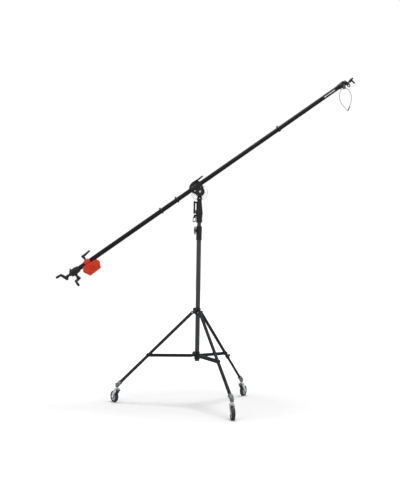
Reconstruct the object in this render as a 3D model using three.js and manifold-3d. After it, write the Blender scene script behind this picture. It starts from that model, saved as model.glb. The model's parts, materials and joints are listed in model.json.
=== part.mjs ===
// A counterweighted boom arm on a wheeled tripod stand, in millimetres, +Z up.
// The boom swings in the XZ plane with its high end towards +X. The model is built round the
// column's axis on the floor, and is moved at the end so that the origin is the middle of the
// bottom of its bounding box.

import * as THREE from "three";
import Module from "manifold-3d";
import { mergeVertices } from "three/addons/utils/BufferGeometryUtils.js";

const wasm = await Module();
wasm.setup();

// ---------------------------------------------------------------- driving dimensions

const GAP = 0.4; // air round a pin in its bore, and between neighbouring pieces
const PIVOT_HEIGHT = 1892; // tilt axle above the floor
const BOOM_ANGLE = 36.35; // boom above the horizontal, degrees
const BOOM_OFFSET = 56; // boom axis above the tilt axle, square to the boom

const COLUMN = { radius: 20, bore: 18, bottom: 388, top: 1530 };
const RISER_1 = { radius: 17.5, bore: 15.6, bottom: 440, top: 1672 };
const RISER_2 = { radius: 15, bore: 13, bottom: 475, top: 1758 };
const LEVER_SIDE = 170.5; // the side of the column that its levers and top knob are on, degrees
const KNOB_SIDE = 222; // the side of the two hub knobs, between two legs

const LEG = { radius: 12.5, bore: 11.3, pivotRadius: 48, pivotHeight: 816.9, lean: 45.2 };
LEG.length = 920; // pivot to the tube's end inside the caster socket
LEG.clipAt = 551.2; // pivot to the brace pin
const LEVELLING = { radius: 11, bore: 9.4, from: 300, outerEnd: 604 };
const BRACE = { pivotRadius: 34, pivotHeight: 436.5, length: 405.2, rise: -1.13 };
BRACE.half = 19; // half its width over the cheeks
BRACE.sheet = 2;
BRACE.web = 215; // the web stops here, so the open end can straddle the leg

const CASTER = { radius: 717, wheelRadius: 50, trail: 45, forkTop: 127, wheelWidth: 29 };

const BOOM = { radius: 20, bore: 18, tail: -1290, tip: 1672 };
const WEIGHT = { middle: -1174, halfThickness: 31 };

// Azimuth of each leg, and of each caster's trail, in degrees.
const LEGS = [
  { name: "left", azimuth: 163.73, trail: 115.5 },
  { name: "front", azimuth: 283.73, trail: 267.5 },
  { name: "rear", azimuth: 43.73, trail: 52.5, levelling: true },
];

// ---------------------------------------------------------------- finishes

const FINISHES = {
  boomBlack: { color: 0x191a1c, roughness: 0.42, metalness: 0.35 },
  standBlack: { color: 0x2b2c2f, roughness: 0.4, metalness: 0.5 },
  castBlack: { color: 0x202124, roughness: 0.55, metalness: 0.3 },
  knobBlack: { color: 0x17181a, roughness: 0.5, metalness: 0 },
  castGrey: { color: 0x6f7174, roughness: 0.5, metalness: 0.7 },
  zinc: { color: 0xa9abae, roughness: 0.35, metalness: 0.9 },
  bright: { color: 0xd2d4d6, roughness: 0.25, metalness: 1 },
  tyreGrey: { color: 0x3c3d40, roughness: 0.75, metalness: 0 },
  hubGrey: { color: 0xb9babb, roughness: 0.5, metalness: 0 },
  red: { color: 0xc7351f, roughness: 0.45, metalness: 0 },
  steelWire: { color: 0xa08a8a, roughness: 0.4, metalness: 0.6 },
};

// ---------------------------------------------------------------- solid helpers

const radians = THREE.MathUtils.degToRad;

// A closed geometry as a manifold solid. A manifold passes through unchanged.
function solid(shape) {
  if (!shape.isBufferGeometry) return shape;
  const bare = shape.index ? shape.toNonIndexed() : shape.clone();
  bare.deleteAttribute("normal");
  bare.deleteAttribute("uv");
  const merged = mergeVertices(bare, 1e-3);
  const vertProperties = merged.attributes.position.array;
  const triVerts = new Uint32Array(merged.index.array);
  return new wasm.Manifold(new wasm.Mesh({ numProp: 3, vertProperties, triVerts }));
}

const union = (...shapes) => shapes.map(solid).reduce((a, b) => a.add(b));
const minus = (base, ...tools) => tools.map(solid).reduce((a, b) => a.subtract(b), solid(base));

function geometryOf(manifold) {
  const mesh = manifold.getMesh();
  const geometry = new THREE.BufferGeometry();
  geometry.setAttribute("position", new THREE.BufferAttribute(mesh.vertProperties, 3));
  geometry.setIndex(new THREE.BufferAttribute(mesh.triVerts, 1));
  geometry.computeVertexNormals();
  return geometry;
}

// How many flats stand for a circle of this radius.
const flats = (radius) => [8, 12, 14, 20, 28][[5, 10, 18, 36].filter((limit) => radius >= limit).length];

// A solid turned about Z from [radius, height] points.
function turned(profile) {
  const points = profile.map(([r, z]) => new THREE.Vector2(r, z));
  const widest = Math.max(...profile.map(([r]) => r));
  return new THREE.LatheGeometry(points, flats(widest)).rotateX(Math.PI / 2);
}

// A closed profile of a pipe wall, for turning.
const wall = (outer, inner, a, b) => [[inner, a], [outer, a], [outer, b], [inner, b], [inner, a]];
const tube = (outer, inner, z0, z1) => turned(wall(outer, inner, z0, z1));

// A solid turned about the X direction from [radius, x] points, centred at height z.
const turnedX = (profile, z) => turned(profile).rotateY(Math.PI / 2).translate(0, 0, z);

// A round bar between two points, tapering if endRadius is given.
function rod(radius, from, to, endRadius = radius, sides = flats(radius)) {
  const a = new THREE.Vector3(...from);
  const b = new THREE.Vector3(...to);
  const length = a.distanceTo(b);
  const along = b.clone().sub(a).normalize();
  const turn = new THREE.Quaternion().setFromUnitVectors(new THREE.Vector3(0, 1, 0), along);
  const middle = a.add(b).multiplyScalar(0.5);
  return new THREE.CylinderGeometry(endRadius, radius, length, sides)
    .applyQuaternion(turn)
    .translate(middle.x, middle.y, middle.z);
}

const ball = (radius, centre) => new THREE.SphereGeometry(radius, 10, 6).translate(...centre);

// A box between two opposite corners.
function block(low, high) {
  const size = high.map((h, i) => h - low[i]);
  const middle = low.map((l, i) => l + size[i] / 2);
  return new THREE.BoxGeometry(...size).translate(...middle);
}

// A flat plate: an outline in the XZ plane, from y0 to y1.
function plate(outline, y0, y1) {
  const shape = new THREE.Shape(outline.map(([x, z]) => new THREE.Vector2(x, z)));
  return new THREE.ExtrudeGeometry(shape, { depth: y1 - y0, bevelEnabled: false })
    .rotateX(Math.PI / 2)
    .translate(0, y1, 0);
}

// ---------------------------------------------------------------- scene helpers

const stand = new THREE.Group();

function add(group, name, shape, finish) {
  const geometry = shape.isBufferGeometry ? shape : geometryOf(shape);
  const mesh = new THREE.Mesh(geometry, new THREE.MeshStandardMaterial(FINISHES[finish]));
  mesh.name = name;
  group.add(mesh);
  return mesh;
}

// A group turned about Z, so that its +X points outwards at that azimuth.
function sideGroup(parent, azimuth) {
  const group = new THREE.Group();
  group.rotation.z = radians(azimuth);
  parent.add(group);
  return group;
}

// A round clamp knob on an axis along +X at height z, with its screw running inwards.
const KNOB_SCREW = 4;
function clampKnob(radius, thickness, from, screwTip, z) {
  const rim = thickness * 0.2;
  const body = turnedX(
    [
      [0, from],
      [radius * 0.55, from],
      [radius, from + rim],
      [radius, from + thickness - rim],
      [radius * 0.8, from + thickness],
      [0, from + thickness],
    ],
    z);
  return union(body, rod(KNOB_SCREW, [screwTip, 0, z], [from + rim, 0, z]));
}

const screwBore = (from, to, z) => rod(KNOB_SCREW + GAP, [from, 0, z], [to, 0, z]);

// ---------------------------------------------------------------- column and telescopic risers

function column() {
  const { radius, bore, bottom, top } = COLUMN;
  const plug = bottom + 8;
  const profile = [[0, bottom], [radius, bottom], [radius, top], [bore, top], [bore, plug], [0, plug]];
  add(stand, "column_tube", turned(profile), "standBlack");
}

function columnCollar() {
  const low = 1462;
  const high = 1583;
  const knobHeight = 1545.5;
  const step = COLUMN.top + 1;
  const seat = COLUMN.radius + GAP;
  const throat = RISER_1.radius + GAP;
  const ring = turned([
    [seat, low],
    [26, low],
    [26, low + 14],
    [24.4, low + 18],
    [24.4, knobHeight - 22],
    [26, knobHeight - 18],
    [26, high - 3],
    [24.5, high],
    [throat, high],
    [throat, step],
    [seat, step],
    [seat, low],
  ]);
  const side = sideGroup(stand, LEVER_SIDE);
  const boss = minus(rod(12, [21, 0, knobHeight], [28.5, 0, knobHeight]), tube(22, 0.01, low, high));
  const outside = union(ring, boss.rotate([0, 0, LEVER_SIDE]));
  const collar = minus(outside, screwBoreAt(LEVER_SIDE, 15, 30, knobHeight));
  add(stand, "column_collar", collar, "castBlack");
  add(side, "column_knob", clampKnob(33, 15.5, 29, 18.6, knobHeight), "knobBlack");
}

// The bore for a clamp screw, turned to an azimuth.
function screwBoreAt(azimuth, from, to, z) {
  return screwBore(from, to, z).rotateZ(radians(azimuth));
}

function firstRiser() {
  const { radius, bore, bottom, top } = RISER_1;
  add(stand, "riser_1_tube", tube(radius, bore, bottom, top), "standBlack");
  const seat = radius + GAP;
  const throat = RISER_2.radius + GAP;
  const ring = turned([
    [seat, 1617],
    [26.5, 1617],
    [27.5, 1622],
    [27.5, 1652],
    [26.4, 1655],
    [28.5, 1660],
    [29.5, 1686],
    [28, 1690],
    [throat, 1690],
    [throat, top + 1],
    [seat, top + 1],
    [seat, 1617],
  ]);
  const pivot = { x: 39, z: 1680 };
  const lug = union(
    block([20, -4, pivot.z - 7], [pivot.x, 4, pivot.z + 7]),
    rod(7, [pivot.x, -4, pivot.z], [pivot.x, 4, pivot.z]),
    rod(2.6, [pivot.x, -9, pivot.z], [pivot.x, 9, pivot.z]),
  );
  const inside = tube(22, 0.01, 1600, 1700);
  const collar = union(ring, minus(lug, inside).rotate([0, 0, LEVER_SIDE]));
  add(stand, "riser_1_collar", collar, "castBlack");

  // A square loop lever: the open window is what a finger pulls.
  const frame = plate(
    [
      [31, 1621],
      [57, 1621],
      [57, 1656],
      [46, 1688],
      [36, 1688],
      [32.5, 1684],
      [31, 1678],
    ],
    -8,
    8,
  );
  const lever = minus(
    frame,
    block([36, -9, 1629], [51, 9, 1657]),
    block([25, -4 - GAP, 1664], [60, 4 + GAP, 1700]),
    rod(2.6 + GAP, [pivot.x, -9, pivot.z], [pivot.x, 9, pivot.z]),
  );
  add(sideGroup(stand, LEVER_SIDE), "riser_1_lever", lever, "castGrey");
}

function secondRiser() {
  const { radius, bore, bottom, top } = RISER_2;
  add(stand, "riser_2_tube", tube(radius, bore, bottom, top), "standBlack");
  const seat = radius + GAP;
  const casting = turned([
    [0, top + 2],
    [seat, top + 2],
    [seat, 1691],
    [31, 1691],
    [32.5, 1695],
    [31, 1716],
    [27, 1740],
    [23.5, 1770],
    [21, 1795],
    [20.3, 1811],
    [11, 1811],
    [11, 1838],
    [0, 1838],
  ]);
  const pivot = { x: 45, z: 1796 };
  const lug = union(
    block([12, -4, pivot.z - 8], [pivot.x, 4, pivot.z + 8]),
    rod(8, [pivot.x, -4, pivot.z], [pivot.x, 4, pivot.z]),
    rod(3, [pivot.x, -8, pivot.z], [pivot.x, 8, pivot.z]),
  );
  add(stand, "top_casting", union(casting, lug.rotate([0, 0, LEVER_SIDE])), "castBlack");

  // A bar lever whose foot reaches in to the casting and leaves a finger slit above it.
  const bar = plate(
    [
      [33.6, 1697],
      [52, 1695],
      [53, 1806],
      [50, 1809],
      [40, 1809],
      [38.5, 1806],
      [38.5, 1732],
      [33.6, 1726],
    ],
    -7.5,
    7.5,
  );
  const lever = minus(
    bar,
    block([20, -4 - GAP, 1780], [60, 4 + GAP, 1820]),
    rod(3 + GAP, [pivot.x, -9, pivot.z], [pivot.x, 9, pivot.z]),
  );
  add(sideGroup(stand, LEVER_SIDE), "top_lever", lever, "castBlack");
}

// ---------------------------------------------------------------- tripod

function legHub() {
  const low = 797;
  const high = 856;
  const bore = COLUMN.radius + 0.5;
  const knobHeight = 843;
  const earInner = LEG.radius + GAP;
  const earOuter = earInner + 4.5;
  const pivot = { x: LEG.pivotRadius, z: LEG.pivotHeight };
  const ears = LEGS.map(({ azimuth }) => {
    const pair = [-1, 1].map((side) => {
      const [y0, y1] = [side * earInner, side * earOuter].sort((a, b) => a - b);
      return union(
        block([18, y0, pivot.z - 13], [pivot.x, y1, pivot.z + 13]),
        rod(13, [pivot.x, y0, pivot.z], [pivot.x, y1, pivot.z]),
      );
    });
    const pin = rod(4, [pivot.x, -earOuter - 2, pivot.z], [pivot.x, earOuter + 2, pivot.z]);
    return union(...pair, pin).rotate([0, 0, azimuth]);
  });
  const knobBoss = rod(9, [20, 0, knobHeight], [28.5, 0, knobHeight]).rotateZ(radians(KNOB_SIDE));
  const sleeve = turned([[0, low], [25, low], [26, low + 2], [26, high - 2], [25, high], [0, high]]);
  const hub = minus(
    union(sleeve, ...ears, knobBoss),
    rod(bore, [0, 0, low - 20], [0, 0, high + 20]),
    screwBoreAt(KNOB_SIDE, 15, 30, knobHeight),
  );
  add(stand, "leg_hub", hub, "castBlack");
  const side = sideGroup(stand, KNOB_SIDE);
  add(side, "leg_hub_knob", clampKnob(14, 15, 29, 21.4, knobHeight), "knobBlack");
}

function braceHub() {
  const low = 404;
  const high = 472;
  const knobHeight = 458;
  const { pivotRadius, pivotHeight, half, sheet } = BRACE;
  const reach = half - sheet - GAP;
  const lugs = LEGS.map(({ azimuth }) =>
    union(
      block([18, -reach, pivotHeight - 8], [pivotRadius, reach, pivotHeight + 8]),
      rod(8, [pivotRadius, -reach, pivotHeight], [pivotRadius, reach, pivotHeight]),
    ).rotate([0, 0, azimuth]),
  );
  const sleeve = turned([
    [0, low],
    [25, low],
    [26.5, low + 3],
    [26.5, 446],
    [24, 449],
    [24, high],
    [0, high],
  ]);
  const knobBoss = rod(8, [20, 0, knobHeight], [27.5, 0, knobHeight]).rotateZ(radians(KNOB_SIDE));
  const hub = minus(
    union(sleeve, ...lugs, knobBoss),
    rod(COLUMN.radius + GAP, [0, 0, low - 20], [0, 0, high + 20]),
    screwBoreAt(KNOB_SIDE, 15, 30, knobHeight),
  );
  add(stand, "brace_hub", hub, "castBlack");
  const side = sideGroup(stand, KNOB_SIDE);
  add(side, "brace_hub_knob", clampKnob(14.5, 15, 28, 21.4, knobHeight), "knobBlack");
}

// A brace is a channel, open below. Its cheeks straddle the leg beyond the end of the web.
function brace(leg) {
  const { half, sheet, length, web } = BRACE;
  const depth = 11;
  const nose = 8;
  const cheeks = [-1, 1].map((side) => {
    const [y0, y1] = [side * (half - sheet), side * half].sort((a, b) => a - b);
    const rivet = [side * (half - sheet), side * (half + 3)];
    return union(
      block([0, y0, -depth], [length, y1, depth]),
      rod(nose, [0, y0, 0], [0, y1, 0]),
      rod(depth, [length, y0, 0], [length, y1, 0]),
      rod(5, [0, rivet[0], 0], [0, rivet[1], 0]),
      rod(6, [length, rivet[0], 0], [length, rivet[1], 0]),
    );
  });
  const top = block([14, -half + 1, depth - sheet], [web, half - 1, depth]);
  const channel = new THREE.Group();
  channel.position.set(BRACE.pivotRadius, 0, BRACE.pivotHeight);
  channel.rotation.y = -radians(BRACE.rise);
  leg.frame.add(channel);
  add(channel, "brace_" + leg.name, union(...cheeks, top), "standBlack");
}

// A leg hangs from its pivot along its own -Z, so that the group's lean sets its slope.
function leg(spec) {
  const frame = sideGroup(stand, spec.azimuth);
  const along = new THREE.Group();
  along.position.set(LEG.pivotRadius, 0, LEG.pivotHeight);
  along.rotation.y = -radians(LEG.lean);
  frame.add(along);

  const end = spec.levelling ? LEVELLING.outerEnd : LEG.length;
  const pinBore = rod(4 + GAP, [0, -20, 0], [0, 20, 0]);
  add(along, "leg_" + spec.name, minus(tube(LEG.radius, LEG.bore, -end, 9), pinBore), "standBlack");

  const clipReach = BRACE.half - BRACE.sheet - GAP;
  const clip = minus(
    union(
      tube(LEG.radius + 3.2, LEG.radius + GAP, -LEG.clipAt - 15, -LEG.clipAt + 15),
      minus(
        rod(8, [0, -clipReach, -LEG.clipAt], [0, clipReach, -LEG.clipAt]),
        rod(LEG.radius + 1, [0, 0, -LEG.clipAt - 20], [0, 0, -LEG.clipAt + 20]),
      ),
    ),
  );
  add(along, "brace_clip_" + spec.name, clip, "castBlack");

  if (spec.levelling) levellingLeg(along);
  socket(frame, along, spec);
  const built = { ...spec, frame };
  brace(built);
  caster(built);
}

function levellingLeg(along) {
  const { radius, bore, from, outerEnd } = LEVELLING;
  add(along, "levelling_leg", tube(radius, bore, -LEG.length, -from), "standBlack");
  const knobHeight = -outerEnd - 8;
  const low = -outerEnd - 16;
  const step = -outerEnd - 1;
  const seat = LEG.radius + GAP;
  const throat = radius + GAP;
  const collar = turned(
    [
      [throat, low],
      [15, low],
      [16.5, low + 3],
      [16.5, -outerEnd + 22],
      [15.5, -outerEnd + 24],
      [seat, -outerEnd + 24],
      [seat, step],
      [throat, step],
      [throat, low],
    ]);
  const boss = minus(rod(7, [12, 0, knobHeight], [21, 0, knobHeight]), rod(14, [0, 0, low], [0, 0, 0]));
  const clamp = minus(union(collar, boss), screwBore(9, 24, knobHeight));
  add(along, "levelling_clamp", clamp, "castBlack");
  add(along, "levelling_knob", clampKnob(12, 13, 21.5, 12.4, knobHeight), "knobBlack");
}

// The socket joins the leg's end to the caster's upright stem. Its shapes are in the leg's
// radial frame, where the leg's axis meets the stem's axis.
const SOCKET = { low: 137, high: 186, stemRadius: 5.5, sleeveRadius: 16.5, sleeve: 27 };
function socket(frame, along, spec) {
  const lean = radians(LEG.lean);
  const pivot = new THREE.Vector3(LEG.pivotRadius, 0, LEG.pivotHeight);
  const drop = (CASTER.radius - LEG.pivotRadius) / Math.tan(lean);
  const meet = new THREE.Vector3(CASTER.radius, 0, LEG.pivotHeight - drop);
  const up = new THREE.Vector3(-Math.sin(lean), 0, Math.cos(lean));
  const at = (distance, y = 0) => meet.clone().addScaledVector(up, distance).setY(y).toArray();
  const toEnd = meet.distanceTo(pivot) - LEG.length;
  const held = spec.levelling ? LEVELLING.radius : LEG.radius;
  const body = union(
    rod(SOCKET.sleeveRadius, at(-4), at(toEnd + SOCKET.sleeve)),
    rod(15, [CASTER.radius, 0, SOCKET.low], [CASTER.radius, 0, SOCKET.high - 12]),
    rod(8, at(toEnd + 12, -23), at(toEnd + 12, 23)),
  );
  const cast = minus(
    body,
    rod(held + GAP, at(toEnd - 1), at(toEnd + 90)),
    rod(SOCKET.stemRadius + GAP, [CASTER.radius, 0, SOCKET.low - 5], [CASTER.radius, 0, SOCKET.low + 30]),
  );
  add(frame, "caster_socket_" + spec.name, cast, "castGrey");
}

// A swivel caster. Its own +X is the direction of trail, from the stem to the wheel.
function caster(spec) {
  const group = new THREE.Group();
  group.position.set(CASTER.radius, 0, 0);
  group.rotation.z = radians(spec.trail - spec.azimuth);
  spec.frame.add(group);
  const { trail, wheelRadius, forkTop, wheelWidth } = CASTER;
  const half = wheelWidth / 2;
  const inner = half + 2.5;
  const outer = inner + 2.5;

  const sideOutline = [
    [-15, forkTop - 18],
    [-15, forkTop - 3],
    [16, forkTop - 3],
    [30, forkTop - 24],
    [trail + 11, wheelRadius + 6],
    [trail + 9, wheelRadius - 9],
    [trail - 9, wheelRadius - 9],
    [trail - 22, wheelRadius + 16],
    [-6, forkTop - 36],
  ];
  const pedalPin = { x: 0, z: 101 };
  const fork = union(
    plate(sideOutline, -outer, -inner),
    plate(sideOutline, inner, outer),
    block([-15, -outer, forkTop - 6], [16, outer, forkTop - 3]),
    rod(16, [0, 0, forkTop - 4], [0, 0, forkTop + 4]),
    rod(SOCKET.stemRadius, [0, 0, forkTop], [0, 0, SOCKET.low + 26]),
    rod(4, [trail, -outer - 3, wheelRadius], [trail, outer + 3, wheelRadius]),
    rod(3, [pedalPin.x, -outer - 1, pedalPin.z], [pedalPin.x, outer + 1, pedalPin.z]),
  );
  add(group, "caster_fork_" + spec.name, fork, "zinc");

  const wheel = new THREE.Group();
  wheel.position.set(trail, 0, wheelRadius);
  wheel.rotation.x = Math.PI / 2;
  group.add(wheel);
  const rim = 37;
  const tyre = turned(
    [
      [rim + GAP, -half + 4],
      [rim + 4, -half],
      [wheelRadius - 5, -half],
      [wheelRadius - 1, -half + 5],
      [wheelRadius, 0],
      [wheelRadius - 1, half - 5],
      [wheelRadius - 5, half],
      [rim + 4, half],
      [rim + GAP, half - 4],
      [rim + GAP, -half + 4],
    ]);
  add(wheel, "caster_tyre_" + spec.name, tyre, "tyreGrey");
  const hubProfile = [
    [4 + GAP, -half - 1.5],
    [11, -half - 1.5],
    [12, -7],
    [32, -7],
    [33, -half + 4],
    [rim, -half + 4],
    [rim, half - 4],
    [33, half - 4],
    [32, 7],
    [12, 7],
    [11, half + 1.5],
    [4 + GAP, half + 1.5],
    [4 + GAP, -half - 1.5],
  ];
  add(wheel, "caster_wheel_" + spec.name, turned(hubProfile), "hubGrey");

  // The pedal is lifted at rest. Pressed down, its pad comes down on the tyre.
  const pedal = minus(
    union(
      plate(
        [
          [-4, 97],
          [-4, 107],
          [-14, 108],
          [-41, 116],
          [-43, 112],
          [-17, 98],
          [-12, 83.5],
          [0, 82.5],
        ],
        -13,
        13,
      ),
      rod(6.5, [0, -13, pedalPin.z], [0, 13, pedalPin.z]),
    ),
    rod(3 + GAP, [0, -20, pedalPin.z], [0, 20, pedalPin.z]),
  );
  add(group, "brake_pedal_" + spec.name, pedal, "knobBlack");
}

// ---------------------------------------------------------------- tilting head

// Everything on the boom is in this group: +X along the boom, origin at the tilt axle.
const boom = new THREE.Group();
boom.position.set(0, 0, PIVOT_HEIGHT);
boom.rotation.y = -radians(BOOM_ANGLE);
stand.add(boom);

const TONGUE = 12.4; // half the knuckle's thickness between the cheeks
const DISC = { radius: 75, y0: 13.2, y1: 17, chord: 26 };
const AXLE = 8;

function knuckle() {
  const base = 1812;
  const shoulder = 1848;
  const boss = turned([
    [0, base],
    [20, base],
    [22, base + 3],
    [22, shoulder - 4],
    [18, shoulder],
    [0, shoulder],
  ]);
  const body = minus(
    union(
      boss,
      block([-18, -TONGUE, base + 16], [18, TONGUE, PIVOT_HEIGHT]),
      rod(26, [0, -TONGUE, PIVOT_HEIGHT], [0, TONGUE, PIVOT_HEIGHT]),
      rod(6, [-2, -25, 1832], [-2, -10, 1832]),
    ),
    block([-40, TONGUE, base - 5], [40, 40, PIVOT_HEIGHT + 40]),
    rod(11 + GAP, [0, 0, base - 5], [0, 0, 1839]),
    rod(AXLE + GAP, [0, -40, PIVOT_HEIGHT], [0, 40, PIVOT_HEIGHT]),
  );
  add(stand, "boom_knuckle", body, "castBlack");

  const bolt = union(
    rod(AXLE, [0, -22.6, PIVOT_HEIGHT], [0, 27.6, PIVOT_HEIGHT]),
    rod(12.5, [0, -28.5, PIVOT_HEIGHT], [0, -22.5, PIVOT_HEIGHT]),
    rod(13, [0, 26.5, PIVOT_HEIGHT], [0, 36, PIVOT_HEIGHT], 13, 6),
  );
  add(stand, "tilt_bolt", bolt, "bright");
}

function boomClamp() {
  const front = { y0: -22, y1: -TONGUE - 0.5 };
  const back = { y0: DISC.y1 + GAP, y1: 26 };
  const web = (reach) => [
    [-reach, 0],
    [-60, 34],
    [-60, 62],
    [53, 62],
    [53, 34],
    [reach, 0],
  ];
  const lever = { x: 34, z: 99 };
  const body = minus(
    union(
      rod(42, [0, front.y0, 0], [0, front.y1, 0]),
      plate(web(41), front.y0, front.y1),
      rod(30, [0, back.y0, 0], [0, back.y1, 0]),
      plate(web(29), back.y0, back.y1),
      turnedX([[0, -60], [27, -60], [29, -57], [29, 50], [27, 53], [0, 53]], BOOM_OFFSET),
      plate(
        [
          [-54, 70],
          [-54, 84],
          [-46, 94],
          [-27, 104],
          [2, 109],
          [28, 106],
          [44, 99],
          [44, 70],
        ],
        -15,
        15,
      ),
    ),
    turnedX([[0, -70], [BOOM.radius + GAP, -70], [BOOM.radius + GAP, 60], [0, 60]], BOOM_OFFSET),
    rod(30, [0, front.y1, 0], [0, back.y0, 0]),
    block([-80, DISC.y0 - GAP, -50], [80, back.y0, DISC.chord + 1]),
    rod(AXLE + GAP, [0, -40, 0], [0, 40, 0]),
    rod(3 + GAP, [lever.x, -20, lever.z], [lever.x, -3, lever.z]),
  );
  add(boom, "boom_clamp", body, "castBlack");

  const handle = union(
    rod(3, [lever.x, -16, lever.z], [lever.x, -5, lever.z]),
    rod(8, [lever.x, -24.5, lever.z], [lever.x, -15.5, lever.z]),
    rod(4.8, [lever.x, -20.4, lever.z], [101, -20.4, 105], 4),
    ball(4.6, [101, -20.4, 105]),
  );
  add(boom, "clamp_lever", handle, "castGrey");

  const windows = [-155, -120, -60, -25, 0].map((angle) => {
    const [x, z] = [58 * Math.cos(radians(angle)), 58 * Math.sin(radians(angle))];
    return rod(8, [x, 0, z], [x, 40, z]);
  });
  const disc = minus(
    rod(DISC.radius, [0, DISC.y0, 0], [0, DISC.y1, 0]),
    block([-90, 0, DISC.chord], [90, 40, 90]),
    rod(AXLE + GAP, [0, 0, 0], [0, 40, 0]),
    ...windows,
  );
  add(boom, "friction_disc", disc, "bright");
}

// ---------------------------------------------------------------- boom tube and its fittings

function boomTube() {
  const { radius, bore, tail, tip } = BOOM;
  add(boom, "boom_tube", turnedX(wall(radius, bore, tail, tip), BOOM_OFFSET), "boomBlack");

  const collars = [
    { name: "tail_stop_ring", x: -381, halfWidth: 4.5, outer: 25.5 },
    { name: "clamp_stop_ring", x: -209, halfWidth: 4.5, outer: 25.5 },
    { name: "tip_stop_ring", x: 938, halfWidth: 6, outer: 26.5 },
  ];
  for (const { name, x, halfWidth, outer } of collars) {
    const seat = radius + GAP;
    const ring = turnedX(
      wall(outer, seat, x - halfWidth, x + halfWidth),
      BOOM_OFFSET);
    const ear = block(
      [x - halfWidth, -6, BOOM_OFFSET + outer - 3],
      [x + halfWidth, 6, BOOM_OFFSET + outer + 6],
    );
    add(boom, name, union(ring, ear), "castBlack");
  }
}

const CRANK_SHAFT = 8;

function tailGearbox() {
  const seat = BOOM.radius + GAP;
  const housing = turnedX(
    [
      [0, -1366],
      [13, -1366],
      [15, -1354],
      [25, -1348],
      [31, -1338],
      [31, -1286],
      [28, -1272],
      [25.5, -1262],
      [seat, -1262],
      [seat, BOOM.tail - 1],
      [0, BOOM.tail - 1],
    ],
    BOOM_OFFSET);
  const pan = { z: BOOM_OFFSET };
  const tilt = { x: -1314 };
  const body = minus(
    union(
      housing,
      rod(7, [-1328, 0, 80], [-1328, 0, 100]),
      rod(13, [tilt.x, 0, 36], [tilt.x, 0, 15]),
    ),
    rod(CRANK_SHAFT + GAP, [-1380, 0, pan.z], [-1340, 0, pan.z]),
    rod(CRANK_SHAFT + GAP, [tilt.x, 0, 5], [tilt.x, 0, 40]),
  );
  add(boom, "tail_gearbox", body, "castBlack");

  const panCrank = union(
    rod(CRANK_SHAFT, [-1342, 0, pan.z], [-1398, 0, pan.z]),
    rod(9.5, [-1396, 0, pan.z - 17], [-1422, 0, pan.z + 43], 8),
    ball(9.5, [-1396, 0, pan.z - 17]),
    ball(8, [-1422, 0, pan.z + 43]),
    rod(7.5, [-1422, 0, pan.z + 43], [-1460, 0, pan.z + 46], 8.5),
    ball(8.5, [-1461, 0, pan.z + 46]),
  );
  add(boom, "pan_crank", panCrank, "castBlack");

  const armEnd = [tilt.x - 34, -38, -19];
  const tiltCrank = union(
    rod(CRANK_SHAFT, [tilt.x, 0, 38], [tilt.x, 0, -18]),
    rod(9.5, [tilt.x + 8, 9, -15], armEnd, 8),
    ball(9.5, [tilt.x + 8, 9, -15]),
    rod(7.5, armEnd, [armEnd[0], armEnd[1], -60], 8.5),
    ball(8.5, [armEnd[0], armEnd[1], -61]),
  );
  add(boom, "tilt_crank", tiltCrank, "castBlack");
}

function counterweight() {
  const { middle, halfThickness } = WEIGHT;
  const outline = [
    [-1229, 48],
    [-1251, 7],
    [-1218, -54],
    [-1107, -49],
    [-1081, 6],
    [-1092, 34],
    [-1112, 40],
  ];
  const bore = [[0, -1280], [BOOM.radius + 0.6, -1280], [BOOM.radius + 0.6, -1040], [0, -1040]];
  const saddle = turnedX(
    [
      [0, middle - 27],
      [26, middle - 27],
      [28, middle - 24],
      [28, middle + 24],
      [26, middle + 27],
      [0, middle + 27],
    ],
    BOOM_OFFSET,
  );
  const body = minus(
    union(
      plate(outline, -halfThickness, halfThickness),
      saddle,
      rod(11, [middle, 0, 78], [middle, 0, 89]),
    ),
    turnedX(bore, BOOM_OFFSET),
    rod(4 + GAP, [middle, 0, 60], [middle, 0, 95]),
  );
  add(boom, "counterweight", body, "red");

  const lever = union(
    rod(4, [middle, 0, 77.5], [middle, 0, 122]),
    rod(10, [middle, 0, 89.6], [middle, 0, 96]),
    rod(8, [middle, 0, 95], [middle, 0, 122]),
    ball(11, [middle, 0, 123]),
    rod(6.5, [middle, 0, 123], [-1104, 0, 130], 4.5),
    ball(5.5, [-1104, 0, 130]),
  );
  add(boom, "weight_lever", lever, "castBlack");
}

// ---------------------------------------------------------------- tip head

const TIP = { panHeight: 52, face: 1711, tiltX: 1750, tiltZ: 36 };
const CABLE_A = [1655, 0, 22]; // where the safety cable leaves the sleeve
const CABLE_B = [1702, 0, 2]; // where it comes back to the end plate

function tipHead() {
  const seat = BOOM.radius + GAP;
  const sleeve = turnedX(
    [
      [0, BOOM.tip + 1],
      [seat, BOOM.tip + 1],
      [seat, 1645],
      [23.5, 1645],
      [25, 1648],
      [25, 1687],
      [0, 1687],
    ],
    BOOM_OFFSET);
  const endPlate = union(
    block([1678, -20, 24], [1699, 20, 72]),
    rod(20, [1678, 0, 30], [1699, 0, 30]),
    rod(20, [1678, 0, 62], [1699, 0, 62]),
  );
  const nose = rod(18, [1697, 0, TIP.panHeight], [TIP.face, 0, TIP.panHeight]);
  const hump = block([1690, -9, 66], [TIP.face - 2, 9, 82]);
  const head = minus(
    union(
      sleeve,
      endPlate,
      nose,
      hump,
      rod(4, [CABLE_A[0], 0, 34], [CABLE_A[0], 0, CABLE_A[2] + GAP]),
      rod(4, [1694, 0, 14], [1699.6, 0, 5]),
    ),
    rod(5 + GAP, [TIP.face - 12, 0, TIP.panHeight], [TIP.face + 5, 0, TIP.panHeight]),
  );
  add(boom, "tip_head", head, "castGrey");
}

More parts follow.
